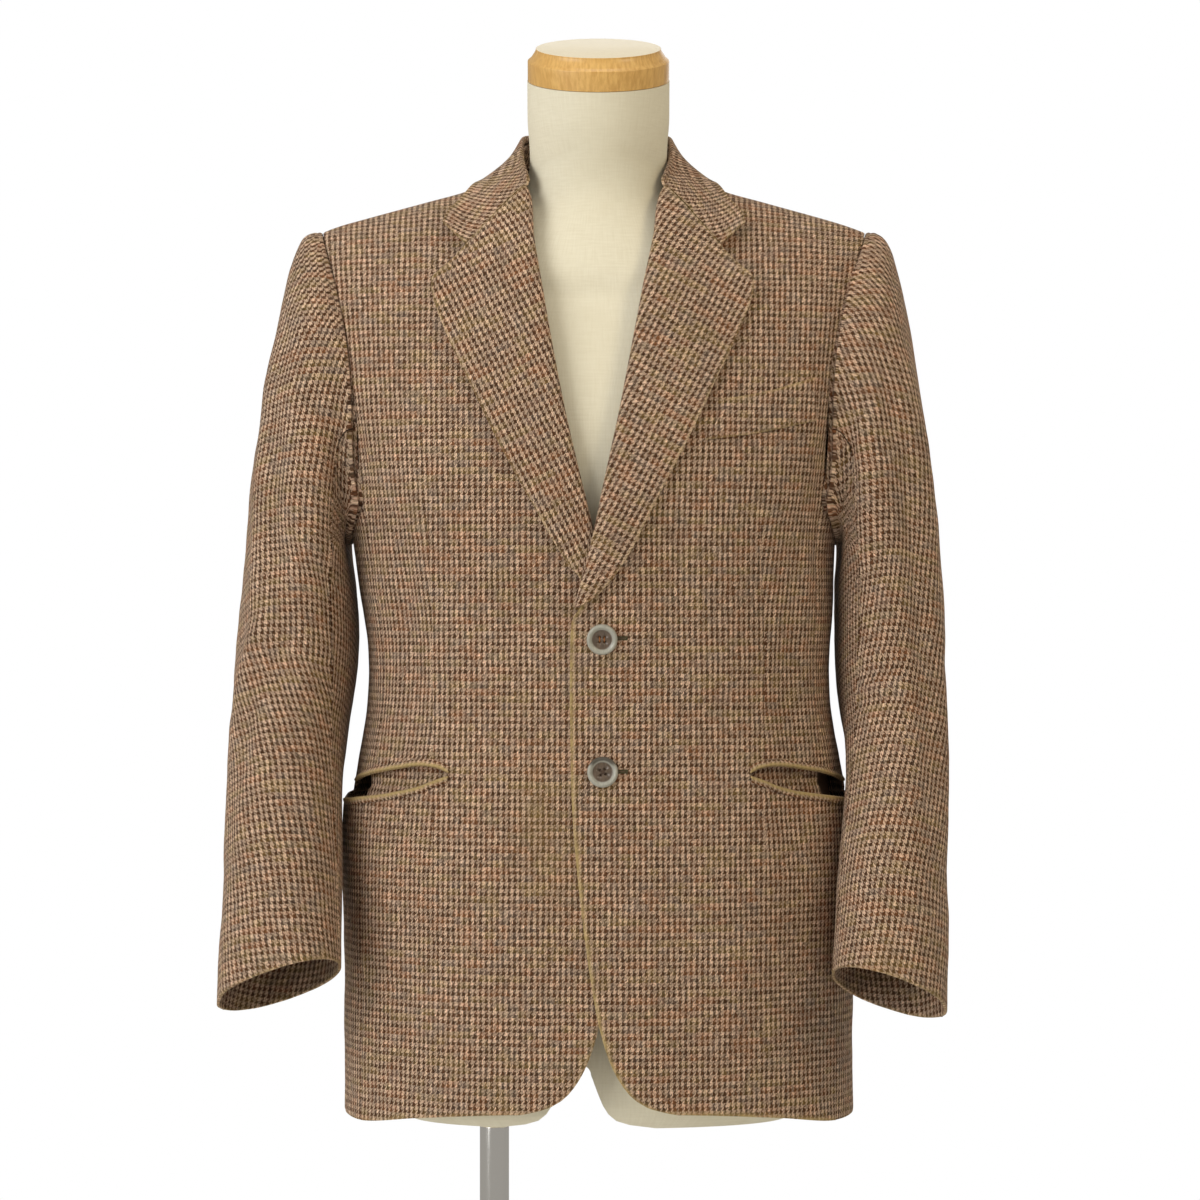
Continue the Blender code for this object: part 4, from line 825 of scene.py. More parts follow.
def make_body():
    """Fronts, side panels and backs."""
    for side, mark in SIDES:
        make_front(side, mark)
        grid, angles = side_grid(side)
        weave = chart(grid, UP, [SIDE_GRAIN] * len(grid[0]), 0, LEVEL_BELOW, side)
        cloth_piece(
            f"side_{mark}_cloth",
            grid,
            weave,
            flip=side == RIGHT,
            keep=lambda i, j: not (j == SLOT_ROW and angles[i] + angles[i + 1] < 2 * SLOT_TO),
            wear=edge_wear(weave, ("foot",), 0.0014),
        )
        grid = back_grid(side)
        start = [-side * abs(point.x) for point in grid[0]]
        weave = chart(grid, UP, start, 0, LEVEL_BELOW, -side)
        wear = edge_wear(weave, ("foot",), 0.0014)
        cloth_piece(f"back_{mark}_cloth", grid, weave, flip=side == LEFT, wear=wear)


# ---- pockets


def jet_chart(grid, side):
    """A jet's weave runs along it."""
    u, v = [], []
    for i, column in enumerate(grid):
        way = 0.0 if i == 0 else u[-1][0] + side * (column[2] - grid[i - 1][2]).length
        u.append([way] * len(column))
        line = [0.0]
        for low, high in zip(column, column[1:]):
            line.append(line[-1] + (high - low).length)
        v.append(line)
    return u, v


def make_jets(side, mark):
    """The two narrow strips that bind the slot of a hip pocket."""
    angles = even(POCKET["angle"][0] + 0.8, POCKET["angle"][-1] - 9.0, 70)
    reaches = (-0.0012, -0.0006, 0.0, 0.0010, 0.0022, 0.0034, JET_WIDTH)
    worn = [1.6 * bell(reach, 0.0002, 0.0015) for reach in reaches]
    for name, edge in (("upper", 1), ("lower", -1)):

        def place(angle, reach):
            middle, half = slot_at(angle)
            puff = 0.0007 * bell(reach, 0.0004, 0.0013)
            tuck = -0.0014 * step(reach, 0.0, -0.0012) - 0.0009 * step(reach, 0.0024, JET_WIDTH)
            up = CLEAR + 0.0002 + JET_THICK + puff + tuck
            return skin(side, angle, middle + edge * (half + reach), up)

        grid = laid_out(angles, reaches, place)
        cloth_piece(
            f"jet_{name}_{mark}_cloth",
            grid,
            jet_chart(grid, side),
            flip=(side == RIGHT) ^ (edge < 0),
            wall=0.0014,
            edge=0.0004,
            wear=[worn] * len(angles),
        )


def make_flap(side, mark):
    """The flap, tucked inside its pocket."""

    def place(angle, t):
        middle, half = slot_at(angle)
        top = middle + half + FLAP_TUCK
        z = mix(top - FLAP_TUCK - FLAP_DROP - half, top, t)
        depth = mix(FLAP_DEPTH, WALL + 3 * CLEAR, step(t, 0.55, 1.0))
        return skin(side, angle, z, -depth - 0.5 * gape(angle, z))

    grid = laid_out(even(34.0, FLAP_ENDS[side], 48), even(0, 1, 16), place)
    cloth_piece(
        f"flap_{mark}_cloth",
        grid,
        chart(grid, UP, side=side),
        flip=side == RIGHT,
    )


def make_bag(side, mark):
    """The pocket bag, seen in the slot."""

    def place(angle, t):
        middle, _ = slot_at(angle)
        z = mix(middle - 0.034, middle + 0.032, t)
        seat = WALL + 2 * CLEAR + 0.0014 * step(angle, 55, 68)
        depth = mix(FLAP_DEPTH + WALL + 0.0035, seat, step(t, 0.7, 1.0))
        return skin(side, angle, z, -depth - gape(angle, z))

    grid = laid_out(even(33.0, 89.0, 56), even(0, 1, 14), place)
    cloth_piece(
        f"pocket_bag_{mark}_cloth",
        grid,
        chart(grid, UP, side=side),
        flip=side == RIGHT,
        wall=0.0012,
        edge=0.0003,
        finish="Pocket lining",
        slot="pocket_lining",
    )


def make_welt():
    """The breast pocket's welt."""

    def place(share, t):
        top_x, top_z, foot_x, foot_z = (
            read(WELT, "s", name, share) for name in ("top_x", "top_z", "foot_x", "foot_z")
        )
        up = CLEAR + WELT_THICK + 0.0006 + 0.0006 * math.sin(math.pi * t) - 0.0010 * step(t, 0.05, 0.0)
        up -= 0.0008 * (step(share, 0.03, 0.0) + step(share, 0.97, 1.0))
        return on_front(LEFT, mix(foot_x, top_x, t), mix(foot_z, top_z, t), up)

    shares = spaced(0.080, 0.004, 0.0010, 0.0040)
    grid = laid_out(shares, spaced(0.033, 0.004, 0.0010, 0.0036), place)
    weave = chart(grid, UP, [point.x + 0.001 for point in grid[0]])
    cloth_piece(
        "breast_welt_cloth",
        grid,
        weave,
        wall=WELT_THICK,
        edge=0.0005,
        wear=edge_wear(weave, ("top", "foot"), 0.0016, 1.0),
    )


def make_pockets():
    """Hip pockets and the breast welt."""
    for side, mark in SIDES:
        make_jets(side, mark)
        make_flap(side, mark)
        make_bag(side, mark)
    make_welt()


# ---- lapels and collar


def lapel_point(side, s, row):
    """Outer face of a lapel: s out from the roll line to its edge, row from the break to the gorge."""
    t = mix(RIGHT_LAPEL_START if side == RIGHT else 0.0, 1.0, row)
    roll_z, edge_x, edge_z = (read(LAPEL, "t", name, t) for name in ("roll_z", "edge_x", "edge_z"))
    roll_x = read(FRONT_EDGE, "z", "x", roll_z)
    across = Vector((edge_x - roll_x, 0, edge_z - roll_z))
    width = across.length
    across.normalize()
    last = ROLL["s"][-1]
    turned_out = min(ROLL["out"][-1], 0.45 * width) / ROLL["out"][-1]
    if s <= last:
        out, up = read(ROLL, "s", "out", s), read(ROLL, "s", "up", s)
        out *= turned_out if out > 0.001 else 1.0
    else:
        share = (s - last) / (1 - last)
        out = mix(ROLL["out"][-1] * turned_out, width, share)
        up = mix(ROLL["up"][-1], LAYER, step(share, 0.0, 0.5))
        up += 0.0013 * math.sin(math.pi * share) * step(t, 0.02, 0.3)
        up += 0.0012 * step(share, 0.55, 1.0) * math.sin(math.pi * min(1.0, t * 1.15)) ** 2
        up += 0.0046 * step(share, 0.45, 1.0) * step(t, 0.72, 1.0)
    gap = (CLEAR + GORGE_EASE * (1 - s) ** 4) * step(t, 0.97, 1.0)
    return on_front(side, roll_x + across.x * out, roll_z + across.z * out - gap, up)


def height(x, y):
    """Height of the shoulders' outer face over a place in plan."""
    back = y > 0
    low, high = 1.08, read(SHOULDER, "x", "back" if back else "front", abs(x))
    for _ in range(18):
        z = (low + high) / 2
        share = min(abs(x) / read(SECTION, "z", "width", z), 1.0) ** SECTION_ROUND
        depth = read(SECTION, "z", "back" if back else "front", z)
        if depth * (1 - share) ** (1 / SECTION_ROUND) * dome(x, z, back) > abs(y):
            low = z
        else:
            high = z
    return low


def leaning(side, point):
    """A point of either side, moved with the lean of the shoulders."""
    return Vector((side * point.x + read(LEAN, "z", "shift", point.z), point.y, point.z))


def to_neck(point):
    """Level direction from a point of the collar to the middle of the neck."""
    return Vector((-point.x, -(point.y + 0.004), 0)).normalized()


def on_line(line, u):
    """Point of one of the collar's lines."""
    return Vector([read(line, "u", name, u) for name in "xyz"])


def collar_end(share):
    """The collar's end on the left front, down the gorge to the notch and out to its tip."""
    gorge, tip = on_line(FOLD, 1.0), on_line(LEAF, 1.0)
    if share < NOTCH_SHARE:
        down = share / NOTCH_SHARE
        x, z = mix(gorge.x, NOTCH_X, down), mix(gorge.z, NOTCH_Z, down)
        z += CLEAR + COLLAR_LIFT * (1 - share) ** 4
    else:
        beyond = (share - NOTCH_SHARE) / (1 - NOTCH_SHARE)
        x, z = mix(NOTCH_X, tip.x, beyond), mix(NOTCH_Z, tip.z, beyond)
    laid = on_front(LEFT, x, z, LAYER + 0.0052 * step(share, 0.45, 1.0))
    laid.x -= read(LEAN, "z", "shift", z)
    return Vector((gorge.x, gorge.y, z)).lerp(laid, step(share, 0.0, 0.3))


def collar_point(s, k):
    """Fall of the collar: s round the neck, k over the fold (below 0) and down the leaf (0 to 1)."""
    u = 2 * s - 1
    side = LEFT if u >= 0 else RIGHT
    u = abs(u)
    if k < 0:
        u *= mix(1.0, 0.975, min(-k, 1.0))
    fold, leaf = on_line(FOLD, u), on_line(LEAF, u)
    share = max(k, 0.0)
    point = fold.lerp(leaf, share)
    point.z -= 0.0022 * math.sin(math.pi * share) * step(u, 0.95, 0.5)
    if u > GORGE_FROM:
        straight = on_line(FOLD, 1.0).lerp(on_line(LEAF, 1.0), share)
        point += (collar_end(share) - straight) * step(u, GORGE_FROM, 1.0)
    if k >= 0:
        face = height(point.x, point.y)
        slope_x = (height(point.x + 0.001, point.y) - face) / 0.001
        slope_y = (height(point.x, point.y + math.copysign(0.001, point.y)) - face) / 0.001
        layer = LAYER * min(math.sqrt(1 + slope_x**2 + slope_y**2), 2.4)
        lowest = face + layer
        past = point.z - lowest
        point.z = lowest + 0.5 * (past + math.hypot(past, 0.0008))
    else:
        point = point + to_neck(point) * read(COLLAR_TURN, "k", "across", k)
        point.z += read(COLLAR_TURN, "k", "up", k)
    return leaning(side, point)


def collar_chart(grid):
    """The collar's weave: each row keeps its own length round the neck; V is 0 on the outer edge."""
    u, v = [], []
    centre = len(grid) // 2
    for i, column in enumerate(grid):
        before = u[-1] if i else [0.0] * len(column)
        last = grid[max(i - 1, 0)]
        u.append([way + (point - old).length for way, point, old in zip(before, column, last)])
    u = [[value - middle for value, middle in zip(column, u[centre])] for column in u]
    for column, ways in zip(grid, u):
        line = [0.0]
        for j in range(len(column) - 2, -1, -1):
            move, slip = (column[j + 1] - column[j]).length, ways[j + 1] - ways[j]
            line.append(line[-1] + math.sqrt(max(move * move - slip * slip, 0.09 * move * move)))
        v.append(line[::-1])
    return u, v


def make_lapel(side, mark):
    """A lapel, with its check turned to run along its edge."""
    slant = math.radians(27)
    shares = even(0, 0.40, 24)[:-1]
    shares += [mix(0.40, 1.0, share) for share in spaced(0.060, 0.005, 0.0010, 0.0035)]
    rows = spaced(0.330, 0.005, 0.0012, 0.0033)
    grid = laid_out(shares, rows, lambda s, row: lapel_point(side, s, row))
    along = Vector((side * math.sin(slant), 0, math.cos(slant)))
    across = Vector((math.cos(slant), 0, -side * math.sin(slant)))
    weave = chart(grid, along, [point.dot(across) * side for point in grid[-1]], len(grid) - 1, None, side)
    cloth_piece(
        f"lapel_{mark}_cloth",
        grid,
        weave,
        flip=side == RIGHT,
        edge=0.0008,
        wear=edge_wear(weave, ("end", "top")),
    )


def stand_point(s, t):
    """Stand of the collar: s round the neck, t from its foot up under the fold."""
    turn = (2 * s - 1) * STAND_END
    side = LEFT if turn >= 0 else RIGHT
    foot, fold = on_line(STAND_FOOT, abs(turn)), on_line(FOLD, abs(turn))
    top = fold + to_neck(fold) * 0.0030 + Vector((0, 0, -0.0056))
    point = foot.lerp(top, t)
    point.z += 0.0012 * (1 - t)
    return leaning(side, point)


def make_collar():
    """Lapels, then the collar's fall and its stand."""
    for side, mark in SIDES:
        make_lapel(side, mark)

    steps = [-4 + i * 0.4 for i in range(10)] + spaced(0.058, 0.004, 0.0010, 0.0032)
    grid = laid_out(spaced(0.430, 0.005, 0.0010, 0.0040), steps, collar_point)
    weave = collar_chart(grid)
    cloth_piece(
        "collar_fall_cloth",
        grid,
        weave,
        wall=0.0016,
        wear=edge_wear(weave, ("start", "end", "top"), 0.0015),
    )

    around = spaced(0.300, 0.004, 0.0010, 0.0050)
    grid = laid_out(around, spaced(0.038, 0.002, 0.0010, 0.0040), stand_point)
    weave = chart(grid, UP, [STAND_GRAIN] * len(grid[0]))
    cloth_piece("collar_stand_cloth", grid, weave, flip=True, edge=0.0004)


# ---- sleeves


def armhole_loop():
    """The armhole's edge, from the shoulder tip down the front and up the back."""
    front, back = [], []
    for level in even(0, 1, 24)[::-1]:
        for points, is_back, column in ((front, False, "front"), (back, True, "back")):
            x, z = settle(0.18, level, is_back, lambda h: read(ARMHOLE, "z", column, h))
            points.append(body(angle_at(x, z, is_back), z))
    foot = []
    for i in range(1, 12):
        angle = mix(FRONT_SEAM, BACK_SEAM, i / 12)
        foot.append(body(angle, SPLIT_Z - below_split(angle)))
    return front + foot + back[::-1][:-1]


def loop_by_turn():
    """The loop as turn (degrees from the top over the front) against its point."""
    found = []
    for point in armhole_loop():
        from_middle = point - ARMHOLE_MIDDLE
        turn = math.degrees(math.atan2(-from_middle.y, from_middle.z)) % 360
        found.append((turn, point))
    found.sort(key=lambda pair: pair[0])
    first, last = found[0], found[-1]
    found = [(last[0] - 360, last[1])] + found + [(first[0] + 360, first[1])]
    return table("turn x y z", *[(turn, *point) for turn, point in found])


LOOP = loop_by_turn()
LAST_ROW = SLEEVE["row"][-1]
LOOP_MIDDLE = Vector(
    ((SLEEVE["out_x"][0] + SLEEVE["in_x"][0]) / 2, 0, (SLEEVE["out_z"][0] + SLEEVE["in_z"][0]) / 2)
)


def sleeve_point(side, turn, row):
    """Outer face of a sleeve: turn from its outermost point over the front, row down from the armhole."""
    if row < 0:
        edge = sleeve_point(side, turn, 0)
        inward = Vector((0, -edge.y, ARMHOLE_MIDDLE.z - edge.z)).normalized()
        under = Vector((-side * 0.0048 * step(row, -1, -3), 0, 0))
        return edge + inward * 0.0040 * step(row, 0.4, -1) + under

    def column(name):
        return read(SLEEVE, "row", name, row)

    outer = Vector((column("out_x"), 0, column("out_z")))
    inner = Vector((column("in_x"), 0, column("in_z")))
    middle = (outer + inner) / 2
    half = (outer - inner) / 2
    fuller = 1 - side * SLEEVE_FULLNESS * step(row, 3, 8)
    angle = math.radians(turn)
    c, s = power(math.cos(angle), 2 / SLEEVE_ROUND), power(math.sin(angle), 2 / SLEEVE_ROUND)
    pitch = math.radians(column("pitch"))
    forward = Vector((0, -math.cos(pitch), math.sin(pitch))) * column("depth")
    point = middle + half * c * fuller + forward * s
    point.y += column("mid_y") - (FOREARM_FORWARD * step(row, 9, 13) if side == LEFT else 0)
    joined = column("joined")
    if joined > 0:
        loop = Vector([read(LOOP, "turn", name, turn % 360) for name in "xyz"])
        ends = step(loop.z, 1.235, 1.260) + step(loop.z, 1.085, 1.065)
        away = (loop - ARMHOLE_MIDDLE).normalized() * 0.0010 + Vector((0.0011 + 0.0010 * ends, 0, 0))
        loop = loop + away + (middle - LOOP_MIDDLE)
        point = point.lerp(loop, min(joined, 1.0))
    shift = read(LEAN, "z", "shift", max(point.z, 1.12)) - read(SLEEVE_SWING, "row", "shift", row)
    if c < 0 and row > 3:
        point.x = beside_body(point, side * (read(LEAN, "z", "shift", point.z) - shift))
    return Vector((side * point.x + shift, point.y, point.z))


def beside_body(point, shift):
    """Where the sleeve's inner face is, as it lies against the side of the jacket."""
    name = "back" if point.y > 0 else "front"
    share = min(abs(point.y) / read(SECTION, "z", name, point.z), 1.0) ** SECTION_ROUND
    limit = read(SECTION, "z", "width", point.z) * (1 - share) ** (1 / SECTION_ROUND)
    limit += SLEEVE_CLEAR + shift
    limit += (GAPE + JET_THICK) * bell(point.z, 0.852, 0.075)
    past = point.x - limit
    return limit + 0.5 * (past + math.hypot(past, 0.003))


def sleeve_grid(side, upper):
    """Points of one part of a sleeve from the cuff up to the armhole, and the turn and row of each."""
    last = LAST_ROW - (SLEEVE_SHORT if side == RIGHT else 0)
    rows = [last * (1 - share) for share in spaced(0.620, 0.005, 0.0012, 0.0042)] + [-0.5, -1.0, -2.0, -3.0]
    columns = spaced(0.190 if upper else 0.150, 0.004, 0.0010, 0.0042)

    def turn_at(share, row):
        twist = read(SEAM_TWIST, "row", "turn", row)
        inseam, elbow = INSEAM + twist, ELBOW_SEAM + twist
        if upper:
            return mix(elbow - 360 + 0.12, inseam - 0.12, share)
        return mix(inseam + 0.12, elbow - 0.12, share)

    turns = laid_out(columns, rows, turn_at)
    grid = [[sleeve_point(side, turn, row) for turn, row in zip(line, rows)] for line in turns]
    return grid, turns, rows


def sleeve_chart(side, grid, turns, start, axis, origin):
    """Weave of a sleeve: above a level ring U is the way round at each height; V goes over the head."""
    u, v = chart(grid, axis, origin=origin)
    way = axis(start)
    tops = []
    for column in grid:
        heights = [column[start].dot(way)]
        for point in column[start + 1 :]:
            heights.append(max(point.dot(way), heights[-1] + 1e-7))
        tops.append(heights)

    def at_height(k, height):
        heights = tops[k]
        if height >= heights[-1]:
            return grid[k][-1]
        j = max(bisect.bisect_right(heights, height) - 1, 0)
        t = (height - heights[j]) / (heights[j + 1] - heights[j])
        return grid[k][start + j].lerp(grid[k][start + j + 1], max(t, 0.0))

    over = [0.0]
    for low, high in zip(grid[origin][start:], grid[origin][start + 1 :]):
        over.append(over[-1] + (high - low).length - abs((high - low).dot(way)))
    for i, column in enumerate(grid):
        sign = 1 if i > origin else -1
        for j in range(start + 1, len(column)):
            height = column[j].dot(way)
            place, around = at_height(origin, height), 0.0
            for k in range(origin + sign, i + sign, sign) if i != origin else ():
                further = at_height(k, height) if k != i else column[j]
                move = further - place
                around += (move - way * move.dot(way)).length
                place = further
            u[i][j] = sign * around
            last = min(max(bisect.bisect_right(tops[origin], height) - 1, 0), len(over) - 1)
            v[i][j] += over[last] * step(abs(half_turns(turns[i][j])), 85, 35)
    return [[side * value for value in column] for column in u], v


def draped_sleeve(side, grid, turns, rows):
    """The sleeve's points with its folds, sunk seams and lowered head; what is turned in follows."""
    normals = outward(grid, side == RIGHT)
    middle = (len(rows) - 1) // 2
    lengths = [0.0]
    for column, following in zip(grid, grid[1:]):
        lengths.append(lengths[-1] + (following[middle] - column[middle]).length)
    first_turned = next(j for j, row in enumerate(rows) if row < 0) - 1
    moved = []
    for i, column in enumerate(grid):
        line = []
        for j, point in enumerate(column):
            if rows[j] < 0:
                line.append(point + line[first_turned] - column[first_turned])
                continue
            up = sleeve_relief(side, turns[i][j], rows[j])
            up += sunk(lengths[i]) + sunk(lengths[-1] - lengths[i])
            low = mix(0.0024, 0.0044, step(rows[j], 0.0, 0.5)) * step(rows[j], 3.6, 1.0)
            low *= step(math.cos(math.radians(turns[i][j])), 0.1, 0.9)
            line.append(point + normals[i][j] * up - UP * low)
        moved.append(line)
    return moved


def make_sleeve(side, mark, upper, part):
    """One part of a sleeve."""
    grid, turns, rows = sleeve_grid(side, upper)
    grid = draped_sleeve(side, grid, turns, rows)
    middles = [sum((column[j] for column in grid), Vector()) / len(grid) for j in range(len(rows))]
    straight = next(j for j, row in enumerate(rows) if row < LEVEL_ROW)

    def axis(j):
        j = min(j, straight)
        way = middles[j + 8] - middles[max(j - 8, 0)]
        way.x *= 0.5
        return way.normalized()

    origin = (len(grid) - 1) // 2
    if upper:
        origin = min(range(len(grid)), key=lambda i: abs(half_turns(turns[i][-1])))
    weave = sleeve_chart(side, grid, turns, straight, axis, origin)
    cloth_piece(
        f"{part}_sleeve_{mark}_cloth",
        grid,
        weave,
        flip=side == RIGHT,
        wear=edge_wear(weave, ("foot",)),
        soil=sleeve_soil,
    )


def make_sleeves():
    """Both parts of both sleeves."""
    for side, mark in SIDES:
        make_sleeve(side, mark, True, "upper")
        make_sleeve(side, mark, False, "under")


def sleeve_soil(point):
    """A faded patch on the left forearm."""
    return 0.5 * spot(point, 0.212, 0.735, 0.012, 0.020) if point.x >= 0 else 0.0


# ---- buttons


def turned(name, profile, steps, finishes, faces_finish=None):
    """A solid turned round Z from (radius, height) pairs that start and end on the axis."""
    bm = bmesh.new()
    verts = [bm.verts.new((r, 0, h)) for r, h in profile]
    edges = [bm.edges.new(pair) for pair in zip(verts, verts[1:])]
    bmesh.ops.spin(
        bm,
        geom=verts + edges,
        axis=(0, 0, 1),
        cent=(0, 0, 0),
        angle=2 * math.pi,
        steps=steps,
        use_merge=True,
    )
    bmesh.ops.remove_doubles(bm, verts=bm.verts, dist=1e-6)
    bmesh.ops.recalc_face_normals(bm, faces=bm.faces)
    if faces_finish:
        for face in bm.faces:
            face.material_index = faces_finish(face)
    return new_object(name, bm, finishes, 30)


def rounded(profile, soft, steps=3):
    """The same profile with its inner corners rounded off by up to soft."""
    made = [profile[0]]
    for before, corner, after in zip(profile, profile[1:], profile[2:]):
        before, corner, after = Vector(before), Vector(corner), Vector(after)
        to_before, to_after = before - corner, after - corner
        reach = min(soft, 0.45 * to_before.length, 0.45 * to_after.length)
        start, end = corner + to_before.normalized() * reach, corner + to_after.normalized() * reach
        for i in range(steps + 1):
            t = i / steps
            made.append(tuple(start.lerp(corner, t).lerp(corner.lerp(end, t), t)))
    made.append(profile[-1])
    return made


def cut_through(obj, cutter):
    """Takes the cutter out of the piece for good."""
    cut = obj.modifiers.new("Holes", "BOOLEAN")
    cut.operation = "DIFFERENCE"
    cut.solver = "EXACT"
    cut.object = cutter
    bpy.context.view_layer.update()
    graph = bpy.context.evaluated_depsgraph_get()
    mesh = bpy.data.meshes.new_from_object(obj.evaluated_get(graph))
    obj.modifiers.clear()
    obj.data = mesh
    bpy.data.objects.remove(cutter, do_unlink=True)


def bead(bm, place, way, normal, long, wide, high, index):
    """A stitch or a strand of thread: a small ellipsoid lying along a direction."""
    side = normal.cross(way).normalized()
    turn = Matrix((way.normalized(), side, normal)).transposed().to_4x4()
    shape = Matrix.Translation(place) @ turn @ Matrix.Diagonal((long / 2, wide / 2, high / 2, 1))
    made = bmesh.ops.create_uvsphere(bm, u_segments=8, v_segments=6, radius=1.0, matrix=shape)
    for vert in made["verts"]:
        for face in vert.link_faces:
            face.material_index = index
            face.smooth = True


def button_piece(name, radius, thick, where, normal, finish, thread, cross, spin):
    """A turned four-hole button with a raised rim, and the thread that holds it, crossed or not."""
    profile = [
        (0.0, 0.0),
        (0.84 * radius, 0.0),
        (radius, 0.34 * thick),
        (0.985 * radius, 0.66 * thick),
        (0.90 * radius, 0.97 * thick),
        (0.80 * radius, 0.97 * thick),
        (0.655 * radius, 0.62 * thick),
        (0.60 * radius, 0.50 * thick),
        (0.0, 0.46 * thick),
    ]
    obj = turned(name, rounded(profile, 0.10 * radius), 56, [finish, thread])
    gap, hole = 0.150 * radius, 0.085 * radius
    bm = bmesh.new()
    spots = [(gap, gap), (-gap, gap), (-gap, -gap), (gap, -gap)]
    for x, y in spots:
        bmesh.ops.create_cone(
            bm,
            cap_ends=True,
            segments=14,
            radius1=hole,
            radius2=hole,
            depth=thick * 4,
            matrix=Matrix.Translation((x, y, 0)),
        )
    cut_through(obj, new_object("holes", bm, [finish]))
    bm = bmesh.new()
    bm.from_mesh(obj.data)
    level = 0.47 * thick
    pairs = ((0, 2), (1, 3)) if cross else ((0, 3), (1, 2))
    for a, b in pairs:
        start, end = Vector((*spots[a], level)), Vector((*spots[b], level))
        for k in (-1, 0, 1):
            shift = (end - start).normalized().cross(UP) * (0.00026 * k * radius / 0.0115)
            centre = (start + end) / 2 + shift + Vector((0, 0, 0.00012))
            span = (end - start).length * 1.18
            bead(bm, centre, end - start, UP, span, 0.040 * radius, 0.07 * radius, 1)
    across = Vector((1, 0, 0))
    for x, y in spots:
        centre = Vector((x, y, 0.25 * thick))
        bead(bm, centre, UP, across, 0.5 * thick, 0.10 * radius, 0.10 * radius, 1)
    turn = normal.to_track_quat("Z", "Y").to_matrix().to_4x4() @ Matrix.Rotation(spin, 4, "Z")
    bm.transform(Matrix.Translation(where) @ turn)
    tone = bm.verts.layers.float.new("tone")
    centre = bm.verts.layers.float.new("centre")
    for vert in bm.verts:
        offset = vert.co - where
        reach = (offset - normal * offset.dot(normal)).length / radius
        vert[centre] = step(reach, 0.70, 0.60)
        vert[tone] = 0.0
        # painted reflection: on the second front button the upper part of the rim is marked to be painted
        # darker, where its tilt reflects dark
        if name == "front_button_2_horn":
            vert[tone] = step(offset.z / radius, 0.30, 0.62) * step(abs(reach - 0.88), 0.22, 0.10)
    bm.to_mesh(obj.data)
    bm.free()
    stands_in(obj, name.removesuffix("_horn"), "horn" if finish == "Horn" else "dark_horn")


def face_normal(place, a, b, reach):
    """Normal of a surface place(a, b) by finite differences."""
    across = place(a + reach[0], b) - place(a - reach[0], b)
    along = place(a, b + reach[1]) - place(a, b - reach[1])
    return across.cross(along).normalized()


def make_buttonhole(number, z):
    """The worked tail of a buttonhole, stitched round its slit."""
    bm = bmesh.new()

    def place(x, up=0.0, rise=0.0):
        return on_front(LEFT, x, z + 0.0006 + rise, up)

    start, end, half = BUTTON_X + 0.004, 0.0196, 0.00085
    normal = face_normal(lambda x, h: on_front(LEFT, x, h), 0.016, z, (0.006, 0.006))
    count = 26
    for i in range(count):
        x = mix(start, end, i / (count - 1))
        for edge in (-1, 1):
            uneven = 0.00012 * noise.noise(Vector((i * 1.7, edge * 3.0, number)))
            centre = place(x, 0.00022, edge * (half + uneven))
            bead(bm, centre, Vector((0.25 * edge, 0, 1)), normal, 0.00150, 0.00058, 0.00085, 0)
    across = Vector((1, 0, 0))
    for rise in even(-0.0013, 0.0013, 6):  # the bar across its end
        bead(bm, place(end + 0.0006, 0.0003, rise), across, normal, 0.0017, 0.00055, 0.0010, 0)
    # painted shade: a dark strand of the lining's cotton lies along the slit, for the shade inside it
    middle = place((start + end) / 2, 0.00005)
    bead(bm, middle, across, normal, end - start, 0.0009, 0.0005, 1)
    obj = new_object(f"buttonhole_{number}", bm, ["Buttonhole twist", "Pocket lining"])
    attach(obj, "root")


def make_buttons():
    """Two buttons on the front with their buttonholes, and two on each cuff."""
    sizes = bpy.context.scene.jacket_buttons
    for i, z in enumerate(BUTTON_HEIGHTS):
        where = on_front(LEFT, BUTTON_X, z)
        normal = face_normal(lambda x, h: on_front(LEFT, x, h), BUTTON_X, z, (0.008, 0.008))
        button_piece(
            f"front_button_{i + 1}_horn",
            sizes.front_radius,
            sizes.front_thickness,
            where + normal * 0.0006,
            normal,
            "Horn",
            "Button thread" if i == 0 else "Brown thread",
            i == 1,
            0.2 * i,
        )
        make_buttonhole(i + 1, z)
    for side, mark in SIDES:
        for i, row in enumerate(CUFF_BUTTON_ROWS):
            turn = ELBOW_SEAM + read(SEAM_TWIST, "row", "turn", row) - 360 + 12.5
            normal = face_normal(lambda a, b: sleeve_point(side, a, b), turn, row, (2.0, 0.1)) * -side
            where = sleeve_point(side, turn, row) + normal * (0.0010 + sleeve_relief(side, turn, row))
            button_piece(
                f"cuff_button_{mark}_{i + 1}_horn",
                sizes.cuff_radius,
                sizes.cuff_thickness,
                where,
                normal,
                "Dark horn",
                "Brown thread",
                True,
                0.5 + 0.4 * i,
            )


# ---- the form and its stand


def torso_reach(direction, z):
    """Distance from the axis to the form's torso along a direction (x, y) at a height."""
    back = direction[1] > 0
    base, roundness = (BLADE_Z, BLADE_ROUND) if back else (CHEST_Z, CHEST_ROUND)
    width = read(FORM, "z", "width", z)
    depth = read(FORM, "z", "back" if back else "front", z)

    def inside(r):
        x, y = abs(direction[0]) * r, abs(direction[1]) * r
        top = min(read(SHOULDER, "x", "back" if back else "front", x) - WALL - FORM_GAP, FORM_TOP)
        if z >= top or x >= width:
            return False
        rise = min(max((z - base) / (top - base), 0.0), 1.0)
        drawn = depth * (1 - rise**roundness) ** (1 / roundness)
        return (x / width) ** SECTION_ROUND + (y / max(drawn, 1e-6)) ** SECTION_ROUND < 1

    low, high = 0.0, 0.30
    for _ in range(26):
        middle = (low + high) / 2
        if inside(middle):
            low = middle
        else:
            high = middle
    return low


def neck_middle(z):
    """Middle of the leaning neck at a height."""
    return Vector((-0.0004, 0.0030 - max(z - 1.300, 0.0) * math.tan(NECK_TILT), z))


